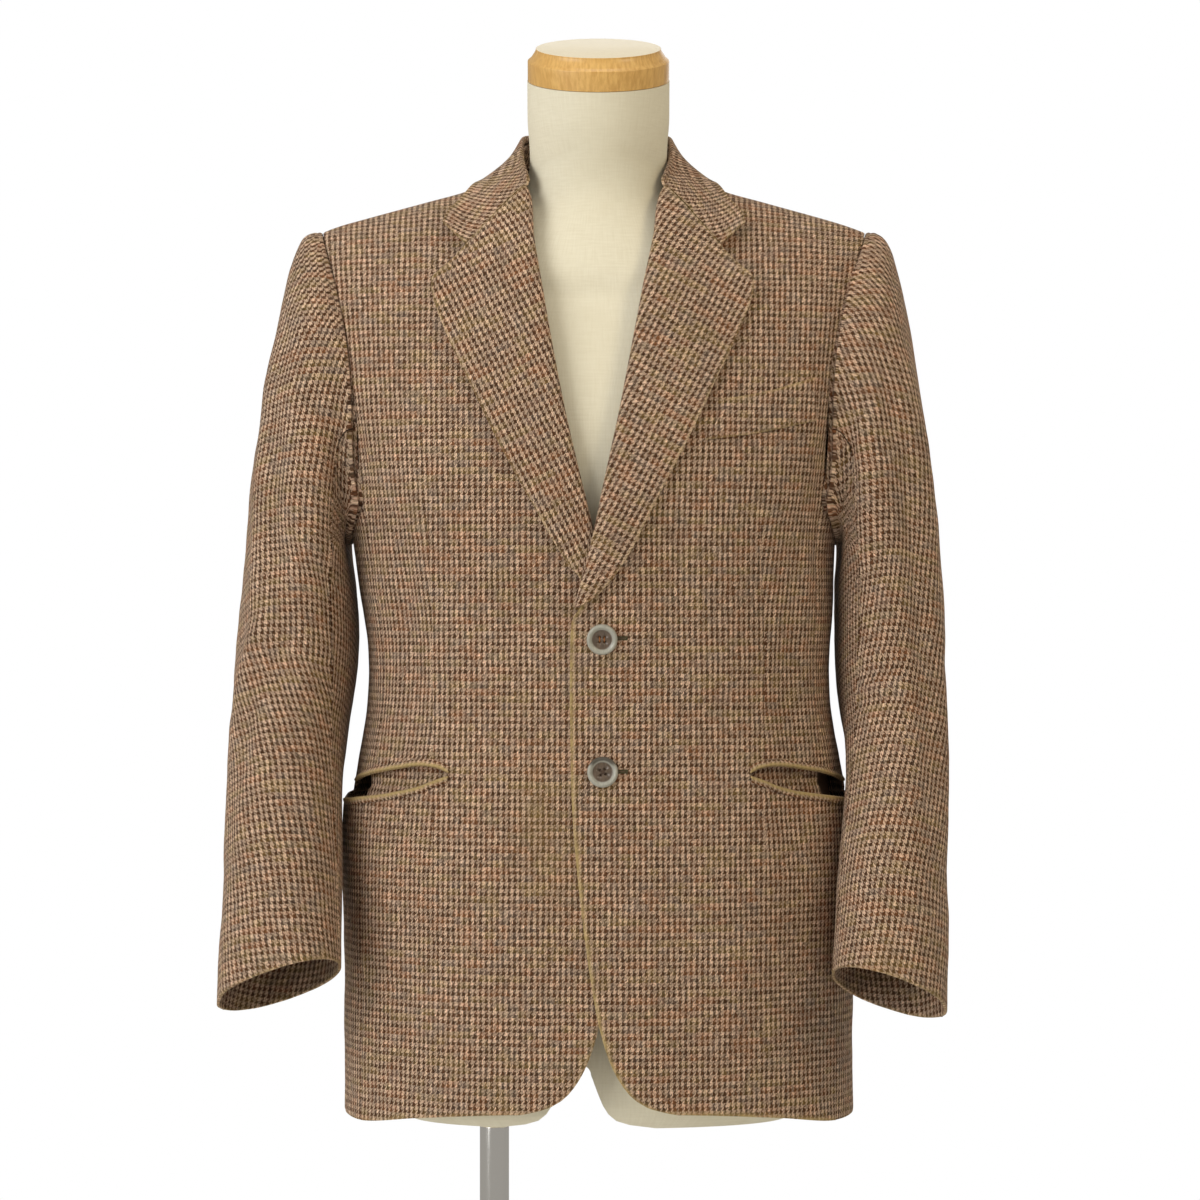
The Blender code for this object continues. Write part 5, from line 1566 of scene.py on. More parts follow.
def neck_reach(direction, z):
    """Distance to the leaning neck, which flares into the shoulders."""
    flare = 1 + 0.14 * step(z, 1.322, 1.270)
    radius = NECK_RADIUS * flare
    deep = radius / math.cos(NECK_TILT)
    return radius * deep / math.hypot(direction[0] * deep, direction[1] * radius)


def form_ring(z):
    """Points round the torso, or round torso and neck together, at one height."""
    width = read(FORM, "z", "width", z)
    foot = mix(0.90, 1.0, step(z, 0.600, 0.618))
    points = []
    for i in range(FORM_SIDES):
        turn = 2 * math.pi * i / FORM_SIDES
        x = width * power(math.sin(turn), 2 / SECTION_ROUND)
        y = -read(FORM, "z", "front", z) * power(math.cos(turn), 2 / SECTION_ROUND)
        if z > 1.24:
            y *= mix(1.0, 0.45, step(z, 1.24, 1.30))
        direction = Vector((x, y)).normalized()
        torso = torso_reach(direction, z) * foot
        neck = neck_reach(direction, z) if z > 1.24 else 0.0
        blend = mix(9.0, 4.0, step(-direction[1], 0.35, 0.9))
        high = max(torso, neck)
        if high > 0 and neck > 0 and torso > 0:
            high = (torso**blend + neck**blend) ** (1 / blend)
        lean = read(LEAN, "z", "shift", z) * step(z, 1.33, 1.20)
        middle = neck_middle(z)
        x0 = mix(lean, middle.x, step(z, 1.24, 1.31))
        y0 = middle.y * step(z, 1.29, 1.33)
        points.append(Vector((x0 + direction[0] * high, y0 + direction[1] * high, z)))
    return points


def neck_ring(z, tilt_share):
    """Points round the neck, tilted more and more towards its top."""
    tilt = NECK_TILT * tilt_share
    middle = neck_middle(z)
    points = []
    for i in range(FORM_SIDES):
        turn = 2 * math.pi * i / FORM_SIDES
        radius = NECK_RADIUS + NECK_SWELL * step(tilt_share, 0.0, 0.6)
        x, y = radius * math.sin(turn), -radius * math.cos(turn)
        deep = y / math.cos(NECK_TILT - tilt)
        points.append(middle + Vector((x, deep * math.cos(tilt), deep * math.sin(tilt))))
    return points


def crotch_outline():
    """An arch between the thigh stubs that flares out at their feet."""
    points = []
    for i in range(17):
        turn = math.pi * i / 16
        points.append((CROTCH_X + 0.0100 * math.cos(turn), CROTCH_TOP - 0.008 + 0.008 * math.sin(turn)))
    flare = (
        (0.0155, 0.6320), (0.0190, 0.6235), (0.0230, 0.6170), (0.0290, 0.6115), (0.0390, 0.6080),
        (0.0620, 0.6045), (0.0600, 0.5800),
    )
    left, right = [(CROTCH_X - x, z) for x, z in flare], [(CROTCH_X + x, z) for x, z in flare[::-1]]
    return points + left + right


def make_form():
    """The torso with its neck, and the arch between its thigh stubs."""
    levels = [0.605, 0.606, 0.608, 0.611, 0.616] + [0.624 + 0.013 * i for i in range(46)]
    levels += [1.224 + 0.0055 * i for i in range(20)]
    rings = [form_ring(z) for z in levels]
    for share in even(0, 1, 14)[1:]:
        rings.append(neck_ring(mix(1.333, NECK_TOP_Z, share), step(share, 0.0, 1.0)))
    bm = bmesh.new()
    loops = []
    for ring in rings:
        verts = [bm.verts.new(point) for point in ring]
        loops.append([bm.edges.new((verts[i - 1], verts[i])) for i in range(FORM_SIDES)])
        if ring is rings[0] or ring is rings[-1]:
            bm.faces.new(verts)
    for low, high in zip(loops, loops[1:]):
        bmesh.ops.bridge_loops(bm, edges=low + high)
    bmesh.ops.recalc_face_normals(bm, faces=bm.faces)
    joint = [vert for vert in bm.verts if 1.235 < vert.co.z < 1.350]
    every_way = {f"use_axis_{axis}": True for axis in "xyz"}
    for _ in range(8):
        bmesh.ops.smooth_vert(bm, verts=joint, factor=0.5, **every_way)
    form = new_object("dress_form_linen", bm, ["Linen"])

    arch = bmesh.new()
    face = arch.faces.new([arch.verts.new((x, -0.2, z)) for x, z in crotch_outline()])
    made = bmesh.ops.extrude_face_region(arch, geom=[face])
    moved = [v for v in made["geom"] if isinstance(v, bmesh.types.BMVert)]
    bmesh.ops.translate(arch, verts=moved, vec=(0, 0.4, 0))
    bmesh.ops.recalc_face_normals(arch, faces=arch.faces)
    cut_through(form, new_object("crotch_arch", arch, ["Linen"]))
    form.data.shade_smooth()
    form.data.set_sharp_from_angle(angle=math.radians(40))
    stands_in(form, "dress_form", "linen")


def tilted(point, z):
    """Moves a piece made upright at the origin onto the neck's leaning top."""
    return Matrix.Translation(point) @ Matrix.Rotation(NECK_TILT, 4, "X") @ Matrix.Translation((0, 0, z))


def make_cap():
    """The neck cap: a band with a rounded shoulder, and a paler top that is the same wood with painted
    light from above.
    """
    profile = [
        (0.0, 0.0),
        (CAP_RADIUS, 0.0),
        (CAP_RADIUS, CAP_BAND),
        (CAP_RADIUS - 0.0024, CAP_BAND + 0.0020),
        (CAP_RADIUS - 0.0052, CAP_BAND + 0.0062),
        (CAP_RADIUS - CAP_SLOPE, CAP_BAND + CAP_BEVEL - 0.0012),
        (CAP_RADIUS - CAP_SLOPE, CAP_BAND + CAP_BEVEL),
        (0.0, CAP_BAND + CAP_BEVEL),
    ]
    top = CAP_BAND + CAP_BEVEL - 0.0002
    cap = turned(
        "neck_cap_wood",
        rounded(profile, 0.0004),
        112,
        ["Honey wood", "Pale wood"],
        # painted light: the top faces take the paler copy of the wood, as lit from above
        lambda face: int(face.calc_center_median().z > top and face.normal.z > 0.9),
    )
    cap.data.transform(tilted(neck_middle(NECK_TOP_Z), CLEAR))
    stands_in(cap, "neck_cap", "wood")


def make_stand():
    """Neck cap, pole socket, pole and base plate."""
    make_cap()
    top = FORM_BOTTOM - CLEAR
    socket = [
        (0.0, top - SOCKET_HEIGHT),
        (SOCKET_FOOT_RADIUS, top - SOCKET_HEIGHT),
        (SOCKET_TOP_RADIUS, top - 0.35 * SOCKET_HEIGHT),
        (SOCKET_TOP_RADIUS, top),
        (0.0, top),
    ]
    foot, pole_top = BASE_THICK + CLEAR, top - SOCKET_HEIGHT - CLEAR
    pole = [(0.0, foot), (POLE_RADIUS, foot), (POLE_RADIUS, pole_top), (0.0, pole_top)]
    base = [
        (0.0, 0.0),
        (BASE_RADIUS - 0.002, 0.0),
        (BASE_RADIUS, 0.002),
        (BASE_RADIUS, BASE_THICK - 0.004),
        (BASE_RADIUS - 0.004, BASE_THICK),
        (0.0, BASE_THICK),
    ]
    for name, profile, soft, steps, finish, node, slot, x in (
        ("pole_socket_wood", socket, 0.0010, 48, "Pale wood", "pole_socket", "wood", POLE_X),
        ("pole_chrome", pole, 0.0006, 64, "Chrome", "pole", "chrome", POLE_X),
        ("base_plate_paint", base, 0.0014, 128, "Painted steel", "base_plate", "painted_steel", 0),
    ):
        piece = turned(name, rounded(profile, soft), steps, [finish])
        piece.data.transform(Matrix.Translation((x, 0, 0)))
        stands_in(piece, node, slot)


# ---- finishes


class Sums:
    """Adds nodes to one tree, with short calls for the sums a finish takes."""

    def __init__(self, tree):
        self.tree = tree

    def node(self, kind, **settings):
        made = self.tree.nodes.new(kind)
        for name, value in settings.items():
            setattr(made, name, value)
        return made

    def give(self, socket, value):
        """Links a socket to a value, or sets it to a plain one."""
        if isinstance(value, bpy.types.NodeSocket):
            self.tree.links.new(value, socket)
        else:
            socket.default_value = value

    def give_all(self, made, **values):
        """The same for named sockets of a node, with underscores for spaces."""
        for label, value in values.items():
            self.give(made.inputs[label.replace("_", " ")], value)

    def fed(self, made, *values):
        """First output of a node, once its first inputs have their values."""
        for socket, value in zip(made.inputs, values):
            self.give(socket, value)
        return made.outputs[0]

    def math(self, operation, *values, clamp=False):
        return self.fed(self.node("ShaderNodeMath", operation=operation, use_clamp=clamp), *values)

    def times(self, a, b, clamp=False):
        return self.math("MULTIPLY", a, b, clamp=clamp)

    def plus(self, a, b):
        return self.math("ADD", a, b)

    def less(self, a, b):
        return self.math("SUBTRACT", a, b)

    def scaled(self, value, factor, more):
        return self.math("MULTIPLY_ADD", value, factor, more)

    def blend(self, share, a, b, way="MIX"):
        made = self.node("ShaderNodeMix", data_type="RGBA", blend_type=way)
        for i, value in ((0, share), (6, a), (7, b)):
            self.give(made.inputs[i], value)
        return made.outputs[2]

    def toned(self, colour, tone):
        """A colour made darker or lighter by a number."""
        return self.blend(1.0, colour, self.pack(tone, tone, tone), "MULTIPLY")

    def ease(self, value, low, high, start=0.0, end=1.0):
        made = self.node("ShaderNodeMapRange", interpolation_type="SMOOTHSTEP")
        return self.fed(made, value, low, high, start, end)

    def grains(self, place, scale, detail=2.0, rough=0.5):
        made = self.node("ShaderNodeTexNoise")
        self.give_all(made, Vector=place, Scale=scale, Detail=detail, Roughness=rough)
        return made.outputs[0]

    def runs(self, x, x_rate, y, y_rate, seed, detail=2.0, rough=0.5):
        """Noise with its own rate each way, so that it runs along one of them."""
        place = self.pack(self.times(x, x_rate), self.times(y, y_rate), seed)
        return self.grains(place, 1.0, detail, rough)

    def pack(self, x, y, z):
        return self.fed(self.node("ShaderNodeCombineXYZ"), x, y, z)

    def parts(self, place):
        made = self.node("ShaderNodeSeparateXYZ")
        self.give(made.inputs[0], place)
        return made.outputs


def effect(name, inputs, outputs):
    """A shader node group with named sockets, and its in and out nodes."""
    group = bpy.data.node_groups.new(name, "ShaderNodeTree")
    for label, kind, value in inputs:
        socket = group.interface.new_socket(label, in_out="INPUT", socket_type=kind)
        if value is not None:
            socket.default_value = value
    for label, kind in outputs:
        group.interface.new_socket(label, in_out="OUTPUT", socket_type=kind)
    sums = Sums(group)
    return group, sums, sums.node("NodeGroupInput").outputs, sums.node("NodeGroupOutput")


NUMBER, COLOUR, PLACE = "NodeSocketFloat", "NodeSocketColor", "NodeSocketVector"


def puppytooth():
    """Small four-and-four check in a 2/2 twill, thread by thread, with heathered wool and painted shade
    between the threads.
    """
    group, sums, given, made = effect(
        "Puppytooth weave",
        [
            ("Cloth", PLACE, None),
            ("Warp Pitch", NUMBER, 0.00053),
            ("Weft Pitch", NUMBER, 0.00066),
            ("Light Wool", COLOUR, None),
            ("Fawn Wool", COLOUR, None),
            ("Dark Wool", COLOUR, None),
            ("Rust", COLOUR, None),
            ("Slate", COLOUR, None),
            ("Moss", COLOUR, None),
            ("Heather", NUMBER, 0.5),
        ],
        [("Colour", COLOUR), ("Relief", NUMBER)],
    )
    u, v, _ = sums.parts(given["Cloth"])
    drifts = (
        sums.scaled(sums.runs(*run, 1.0), 0.0020, -0.0010)
        for run in ((u, 160.0, v, 60.0, 0.0), (v, 160.0, u, 60.0, 3.0))
    )
    warp, weft = (
        sums.math("DIVIDE", sums.plus(way, drift), given[pitch])
        for way, drift, pitch in zip((u, v), drifts, ("Warp Pitch", "Weft Pitch"))
    )
    i, j = sums.math("FLOOR", warp), sums.math("FLOOR", weft)
    in_i, in_j = sums.math("FRACT", warp), sums.math("FRACT", weft)
    twill = sums.math("FLOORED_MODULO", sums.less(i, j), 4.0)
    over = sums.math("LESS_THAN", twill, 1.5)

    def of_thread(warp_value, weft_value):
        """What belongs to the thread that lies on top."""
        return sums.plus(weft_value, sums.times(over, sums.less(warp_value, weft_value)))

    def dark_thread(count):
        """Four dark threads in every eight."""
        return sums.math("LESS_THAN", sums.math("FLOORED_MODULO", count, 8.0), 3.5)

    def crown(value):
        """Height of a round thread, across or along it."""
        away = sums.math("ABSOLUTE", sums.scaled(value, 2.0, -1.0))
        return sums.less(1.0, sums.math("POWER", away, 2.0))

    warp_dark = dark_thread(i)
    dark = sums.times(of_thread(warp_dark, dark_thread(j)), 0.86)
    dark = sums.plus(dark, sums.times(warp_dark, 0.14))

    fleck = of_thread(sums.runs(i, 3.7, v, 330.0, 3.0), sums.runs(u, 330.0, j, 3.7, 7.0))
    band = sums.math("FLOOR", sums.math("DIVIDE", weft, 8.0))
    tint = sums.runs(u, 34.0, band, 7.31, 11.0, 2.0, 0.6)
    second = sums.runs(u, 52.0, band, 3.77, 17.0, 2.0, 0.6)
    on_weft = sums.times(given["Heather"], sums.scaled(over, -0.6, 1.0))

    fair = sums.blend(over, given["Fawn Wool"], given["Light Wool"])
    wool = sums.blend(dark, fair, given["Dark Wool"])
    for strength, colour in (
        (sums.ease(tint, 0.52, 0.62), given["Rust"]),
        (sums.ease(tint, 0.48, 0.38), given["Moss"]),
        (sums.ease(second, 0.54, 0.64), given["Slate"]),
    ):
        deep = sums.blend(0.62, colour, given["Dark Wool"])
        pale = sums.blend(0.55, colour, fair)
        wool = sums.blend(sums.times(strength, on_weft), wool, sums.blend(dark, pale, deep))
    bead = sums.node("ShaderNodeTexWhiteNoise", noise_dimensions="2D")
    fours = (sums.math("FLOOR", sums.math("DIVIDE", value, 4.0)) for value in (warp, weft))
    sums.give(bead.inputs["Vector"], sums.pack(*fours, 0.0))
    tone = sums.times(sums.scaled(fleck, 2.4, -0.2), sums.scaled(bead.outputs["Value"], 0.56, 0.72))

    held = sums.less(twill, sums.times(sums.less(1.0, over), 2.0))
    along = sums.times(sums.plus(held, of_thread(in_j, in_i)), 0.5)
    relief = sums.plus(sums.times(crown(of_thread(in_i, in_j)), 0.55), sums.times(crown(along), 0.45))
    fuzz = sums.scaled(sums.grains(given["Cloth"], 2600.0, 2.0, 0.6), 1.8, -0.9)
    # painted shade: the colour darkens where the relief is low, at the edges of each thread and between
    # threads
    tone = sums.times(sums.times(tone, sums.scaled(relief, 0.50, 0.62)), sums.plus(fuzz, 1.0))
    sums.give_all(made, Colour=sums.toned(wool, tone), Relief=sums.scaled(fuzz, 0.25, relief))
    return group


def wear_and_soil():
    """Rubbed edges and old marks over a cloth's colour."""
    group, sums, given, made = effect(
        "Wear and soil",
        [
            ("Colour", COLOUR, None),
            ("Cloth", PLACE, None),
            ("Wear", NUMBER, 0.0),
            ("Worn", COLOUR, None),
            ("Soil", NUMBER, 0.0),
            ("Soiled", COLOUR, None),
        ],
        [("Colour", COLOUR)],
    )
    patches = sums.grains(given["Cloth"], 160.0, 3.0, 0.6)
    colour = given["Colour"]
    for amount, low, high, least, strength, over in (
        (given["Wear"], 0.25, 0.65, 0.35, 0.80, given["Worn"]),
        (given["Soil"], 0.2, 0.7, 0.4, 0.45, given["Soiled"]),
    ):
        shown = sums.times(amount, sums.ease(patches, low, high, least, 1.0), clamp=True)
        colour = sums.blend(sums.times(shown, strength), colour, over)
    broad = sums.grains(given["Cloth"], 14.0)
    sums.give_all(made, Colour=sums.toned(colour, sums.scaled(broad, 0.26, 0.87)))
    return group


def plain_weave():
    """A plain canvas: one thread over and one under, with slubs."""
    group, sums, given, made = effect(
        "Plain weave",
        [("Place", PLACE, None), ("Pitch", NUMBER, 0.0007), ("Slubs", NUMBER, 0.5)],
        [("Threads", NUMBER), ("Relief", NUMBER)],
    )
    x, y, z = sums.parts(given["Place"])
    wave = sums.math("DIVIDE", math.pi, given["Pitch"])
    side = sums.times(sums.math("ARCTAN2", x, sums.times(y, -1.0)), 0.085)
    wander = sums.scaled(sums.grains(given["Place"], 60.0, 1.0), 0.0022, -0.0011)
    ribs, picks = (
        sums.math("ABSOLUTE", sums.math("SINE", sums.times(way, wave)))
        for way in (sums.plus(side, wander), z)
    )
    slubs = sums.plus(sums.runs(side, 700.0, z, 60.0, 2.0), sums.runs(side, 60.0, z, 700.0, 5.0))
    uneven = sums.times(sums.less(slubs, 1.0), given["Slubs"])
    relief = sums.plus(sums.times(ribs, 0.5), sums.times(picks, 0.35))
    # painted shade: Threads is lower between the threads, by their relief, and also carries the slubs' own
    # unevenness; the cloths that use it take their colour from it
    threads = sums.plus(sums.scaled(relief, 0.5, 0.2), uneven)
    sums.give_all(made, Relief=sums.plus(relief, uneven), Threads=threads)
    return group


def long_grain():
    """Streaks that run along one direction, for wood, horn and brushed metal."""
    group, sums, given, made = effect(
        "Long grain",
        [
            ("Place", PLACE, None),
            ("Fine", NUMBER, 600.0),
            ("Stretch", NUMBER, 0.08),
            ("Broad", NUMBER, 40.0),
        ],
        [("Streaks", NUMBER), ("Patches", NUMBER)],
    )
    x, y, z = sums.parts(given["Place"])
    place = sums.pack(x, y, sums.times(z, given["Stretch"]))
    streaks = sums.grains(place, given["Fine"], 3.0, 0.55)
    sums.give_all(made, Streaks=streaks, Patches=sums.grains(place, given["Broad"]))
    return group


EFFECTS = {
    "Puppytooth weave": puppytooth,
    "Wear and soil": wear_and_soil,
    "Plain weave": plain_weave,
    "Long grain": long_grain,
}


def opaque(colour, *factors):
    """A colour with its alpha, changed by one factor or by one for each channel."""
    factors = factors or (1.0,)
    return tuple(part * factors[i % len(factors)] for i, part in enumerate(colour)) + (1.0,)


class Finish(Sums):
    """A material under way: its shader, and the place its pattern is worked out from."""

    def __init__(self, name, uv_map=None):
        self.material = bpy.data.materials.new(name)
        self.material.use_nodes = True
        super().__init__(self.material.node_tree)
        self.shader = self.tree.nodes["Principled BSDF"]
        if uv_map:
            self.place = self.node("ShaderNodeUVMap", uv_map=uv_map).outputs[0]
        else:
            self.place = self.node("ShaderNodeTexCoord").outputs["Object"]

    def attribute(self, name):
        return self.node("ShaderNodeAttribute", attribute_name=name).outputs["Fac"]

    def use(self, effect_name, **values):
        """Outputs of an effect, once its inputs have their values."""
        group = bpy.data.node_groups.get(effect_name) or EFFECTS[effect_name]()
        node = self.node("ShaderNodeGroup", node_tree=group)
        self.give_all(node, **values)
        return node.outputs

    def grain(self, fine, stretch, broad):
        return self.use("Long grain", Place=self.place, Fine=fine, Stretch=stretch, Broad=broad)

    def done(self, colour, roughness, relief=None, **constants):
        """The material with its colour, roughness, relief (height, depth, strength) and plain values."""
        self.give_all(self.shader, Base_Color=colour, Roughness=roughness, **constants)
        if relief:
            node = self.node("ShaderNodeBump")
            self.give_all(node, **dict(zip(("Height", "Distance", "Strength"), relief)))
            self.give(self.shader.inputs["Normal"], node.outputs[0])
        return self.material


def tweed(name):
    """Heathered wool in a small check, rubbed at its edges."""
    colours = bpy.context.scene.jacket_cloth
    look = Finish(name, "weave")
    yarns = ("light_wool", "fawn_wool", "dark_wool", "rust", "slate", "moss")
    weave = look.use(
        "Puppytooth weave",
        Cloth=look.place,
        Warp_Pitch=colours.warp_pitch,
        Weft_Pitch=colours.weft_pitch,
        Heather=colours.heather,
        **{yarn.title(): opaque(getattr(colours, yarn)) for yarn in yarns},
    )
    worn = look.use(
        "Wear and soil",
        Colour=weave["Colour"],
        Cloth=look.place,
        Wear=look.attribute("wear"),
        Worn=opaque(colours.worn_edge),
        Soil=look.attribute("soil"),
        Soiled=opaque(colours.soil),
    )
    return look.done(
        worn["Colour"],
        0.95,
        (weave["Relief"], 0.00030, 0.45),
        Specular_IOR_Level=0.15,
        Sheen_Weight=0.10,
        Sheen_Roughness=0.5,
        Sheen_Tint=(0.90, 0.78, 0.66, 1.0),
    )


def pocket_lining(name):
    """Dark cotton."""
    look = Finish(name)
    weave = look.use("Plain weave", Place=look.place, Pitch=0.0005, Slubs=0.4)
    # partly painted shade: darker between the threads, by the weave's relief, and darker or lighter with
    # the slubs
    cotton = look.blend(weave["Threads"], (0.110, 0.068, 0.044, 1.0), (0.220, 0.140, 0.090, 1.0))
    return look.done(cotton, 0.8, (weave["Relief"], 0.0002, 0.4))


def horn(name):
    """Pale buffalo horn with a dark, polished middle, and a painted dark reflection on part of one button's
    rim.
    """
    colours = bpy.context.scene.jacket_buttons
    look = Finish(name)
    grain = look.grain(900.0, 0.25, 160.0)
    streaks = look.ease(grain["Streaks"], 0.30, 0.70)
    pale = look.blend(streaks, opaque(colours.rim, 0.78), opaque(colours.rim))
    # painted reflection: where the attribute is set the rim turns dark brown
    pale = look.blend(look.times(look.attribute("tone"), 0.9), pale, (0.050, 0.038, 0.024, 1.0))
    centre = look.blend(streaks, opaque(colours.middle), opaque(colours.middle, 1.6))
    return look.done(
        look.blend(look.attribute("centre"), pale, centre),
        look.ease(grain["Patches"], 0.3, 0.7, 0.28, 0.45),
        (grain["Streaks"], 0.0001, 0.3),
        Coat_Weight=0.25,
        Coat_Roughness=0.2,
    )


def dark_horn(name):
    """Dark brown horn, polished all over."""
    look = Finish(name)
    grain = look.grain(900.0, 0.25, 160.0)
    streaks = look.ease(grain["Streaks"], 0.35, 0.75)
    return look.done(
        look.blend(streaks, (0.022, 0.015, 0.011, 1.0), (0.075, 0.052, 0.036, 1.0)),
        look.ease(grain["Patches"], 0.3, 0.7, 0.25, 0.42),
        (grain["Streaks"], 0.0001, 0.3),
        Coat_Weight=0.3,
    )


def sewing_thread(name, colour):
    """Twisted sewing thread."""
    look = Finish(name)
    twist = look.grains(look.place, 3000.0, 2.0, 0.6)
    twisted = look.blend(look.ease(twist, 0.35, 0.65), opaque(colour, 0.45), opaque(colour, 1.5))
    return look.done(twisted, 0.75, (twist, 0.0001, 0.6))


def linen(name):
    """Cream canvas with slubs, and painted shade between its threads."""
    colour = bpy.context.scene.jacket_form.linen
    look = Finish(name)
    weave = look.use("Plain weave", Place=look.place, Pitch=0.00085, Slubs=0.55)
    shaded = opaque(colour, 0.87, 0.85, 0.80)
    # partly painted shade: the darker copy shows between the threads, by the weave's relief; the slubs and
    # the broad patches are the linen's own unevenness
    cover = look.blend(look.ease(weave["Threads"], 0.05, 0.85), shaded, opaque(colour))
    broad = look.ease(look.grains(look.place, 9.0), 0.40, 0.70, 0.0, 0.35)
    cover = look.blend(broad, cover, shaded)
    return look.done(cover, 0.9, (weave["Relief"], 0.00025, 0.35), Specular_IOR_Level=0.2)


def wood(name, colour, contrast):
    """Lacquered wood, its grain standing upright round the edge."""
    look = Finish(name)
    grain = look.grain(420.0, 0.10, 38.0)
    low = opaque(colour, *(1 - contrast * part for part in (0.8, 1.1, 1.5)))
    mixed = look.blend(look.ease(grain["Streaks"], 0.30, 0.70), low, opaque(colour))
    return look.done(
        look.blend(look.ease(grain["Patches"], 0.45, 0.75, 0.0, 0.6), mixed, low),
        look.ease(grain["Streaks"], 0.3, 0.7, 0.36, 0.48),
        (grain["Streaks"], 0.0001, 0.15),
        Coat_Weight=0.25,
        Coat_Roughness=0.25,
    )


def chrome(name):
    """Bright plated steel with faint streaks."""
    look = Finish(name)
    grain = look.grain(900.0, 0.02, 60.0)
    return look.done(
        look.blend(grain["Patches"], (0.84, 0.83, 0.80, 1.0), (0.96, 0.95, 0.92, 1.0)),
        look.ease(grain["Streaks"], 0.3, 0.7, 0.06, 0.12),
        Metallic=1.0,
    )


def painted_steel(name):
    """Off-white paint with scuffs."""
    look = Finish(name)
    peel = look.grains(look.place, 700.0)
    scuffs = look.ease(look.grains(look.place, 25.0, 4.0, 0.65), 0.55, 0.75)
    return look.done(
        look.blend(scuffs, (0.78, 0.77, 0.73, 1.0), (0.68, 0.66, 0.61, 1.0)),
        look.ease(peel, 0.3, 0.7, 0.38, 0.50),
        (peel, 0.0002, 0.15),
    )


def studio_floor(name):
    """Pale paper, slightly mottled."""
    look = Finish(name)
    mottle = look.grains(look.place, 3.0, 3.0)
    return look.done(look.blend(mottle, (0.83, 0.83, 0.82, 1.0), (0.88, 0.88, 0.87, 1.0)), 0.7)


BROWN_THREAD = (0.080, 0.045, 0.028)
FINISHES = {
    "Tweed": tweed,
    "Pocket lining": pocket_lining,
    "Horn": horn,
    "Dark horn": dark_horn,
    "Button thread": lambda name: sewing_thread(name, bpy.context.scene.jacket_buttons.thread),
    "Brown thread": lambda name: sewing_thread(name, BROWN_THREAD),
    "Buttonhole twist": lambda name: sewing_thread(name, bpy.context.scene.jacket_buttons.twist),
    "Linen": linen,
    "Honey wood": lambda name: wood(name, bpy.context.scene.jacket_form.honey_wood, 0.26),
    "Pale wood": lambda name: wood(name, bpy.context.scene.jacket_form.pale_wood, 0.06),
    "Chrome": chrome,
    "Painted steel": painted_steel,
    "Studio floor": studio_floor,
}


def finish_of(name):
    """The material of that name, made when it is first asked for."""
    return bpy.data.materials.get(name) or FINISHES[name](name)


# ---- the studio


def area_light(name, place, aim, size, power, colour=(1.0, 1.0, 1.0)):
    """A square light that faces a point."""
    light = bpy.data.lights.new(name, "AREA")
    light.shape = "SQUARE"
    light.size = size
    light.energy = power
    light.color = colour
    obj = bpy.data.objects.new(name, light)
    obj.location = place
    obj.rotation_euler = (Vector(aim) - Vector(place)).to_track_quat("-Z", "Y").to_euler()
    bpy.context.scene.collection.objects.link(obj)


def make_world(strength):
    """White to the eye, and a softer light on what stands in it."""
    world = bpy.data.worlds.new("Studio white")
    bpy.context.scene.world = world
    world.use_nodes = True
    tree = world.node_tree
    sums = Sums(tree)
    seen, lit = tree.nodes["Background"], sums.node("ShaderNodeBackground")
    sums.give_all(seen, Color=(1.0, 1.0, 1.0, 1.0), Strength=1.0)
    sums.give_all(lit, Color=(1.0, 0.955, 0.890, 1.0), Strength=strength)
    eye = sums.node("ShaderNodeLightPath").outputs["Is Camera Ray"]
    which = sums.fed(sums.node("ShaderNodeMixShader"), eye, lit.outputs[0], seen.outputs[0])
    sums.give(tree.nodes["World Output"].inputs["Surface"], which)


def make_studio():
    """Floor, background, lights and camera."""
    studio = bpy.context.scene.jacket_studio
    bpy.context.scene.view_settings.view_transform = "Standard"
    bm = bmesh.new()
    bmesh.ops.create_circle(bm, cap_ends=True, segments=128, radius=studio.floor_radius)
    bmesh.ops.translate(bm, verts=bm.verts, vec=(0, 0, -0.001))
    floor = new_object("studio_floor", bm, ["Studio floor"])
    make_world(studio.ambient)
    area_light("Key", (-2.8, -2.4, 2.0), (0, 0, 1.0), 2.3, studio.key_power, (1.0, 0.995, 0.985))
    area_light("Fill", (1.7, -1.5, 2.3), (0.05, 0, 1.35), 0.9, studio.fill_power, (1.0, 0.86, 0.62))
    area_light("Top", (0.0, -0.4, 3.4), (0, 0, 1.2), 1.4, studio.top_power)
    area_light("Rim", (0.6, 2.8, 2.0), (0, 0, 1.0), 1.6, studio.rim_power)
    camera = bpy.data.cameras.new("Camera")
    camera.lens = studio.lens
    camera.sensor_width = 36.0
    obj = bpy.data.objects.new("Camera", camera)
    obj.location = (studio.camera_across, -studio.camera_distance, studio.camera_height)
    obj.rotation_euler = (math.radians(90), 0, 0)
    bpy.context.scene.collection.objects.link(obj)
    bpy.context.scene.camera = obj


# ---- settings, operators and panel


def number_setting(name, description, default, **more):
    """A number that isn't negative."""
    return FloatProperty(name=name, description=description, default=default, min=0.0, **more)


def length_setting(name, description, default):
    """A length in metres."""
    return number_setting(name, description, default, unit="LENGTH", precision=5)


def power_setting(name, description, default):
    """The power of a light."""
    return number_setting(name, description, default, unit="POWER")


def share_setting(name, description, default):
    """A share from 0 to 1."""
    return number_setting(name, description, default, subtype="FACTOR", max=1.0)


def colour_setting(name, description, default):
    """A linear colour."""
    return FloatVectorProperty(
        name=name, description=description, default=default, subtype="COLOR", min=0.0, max=1.0
    )


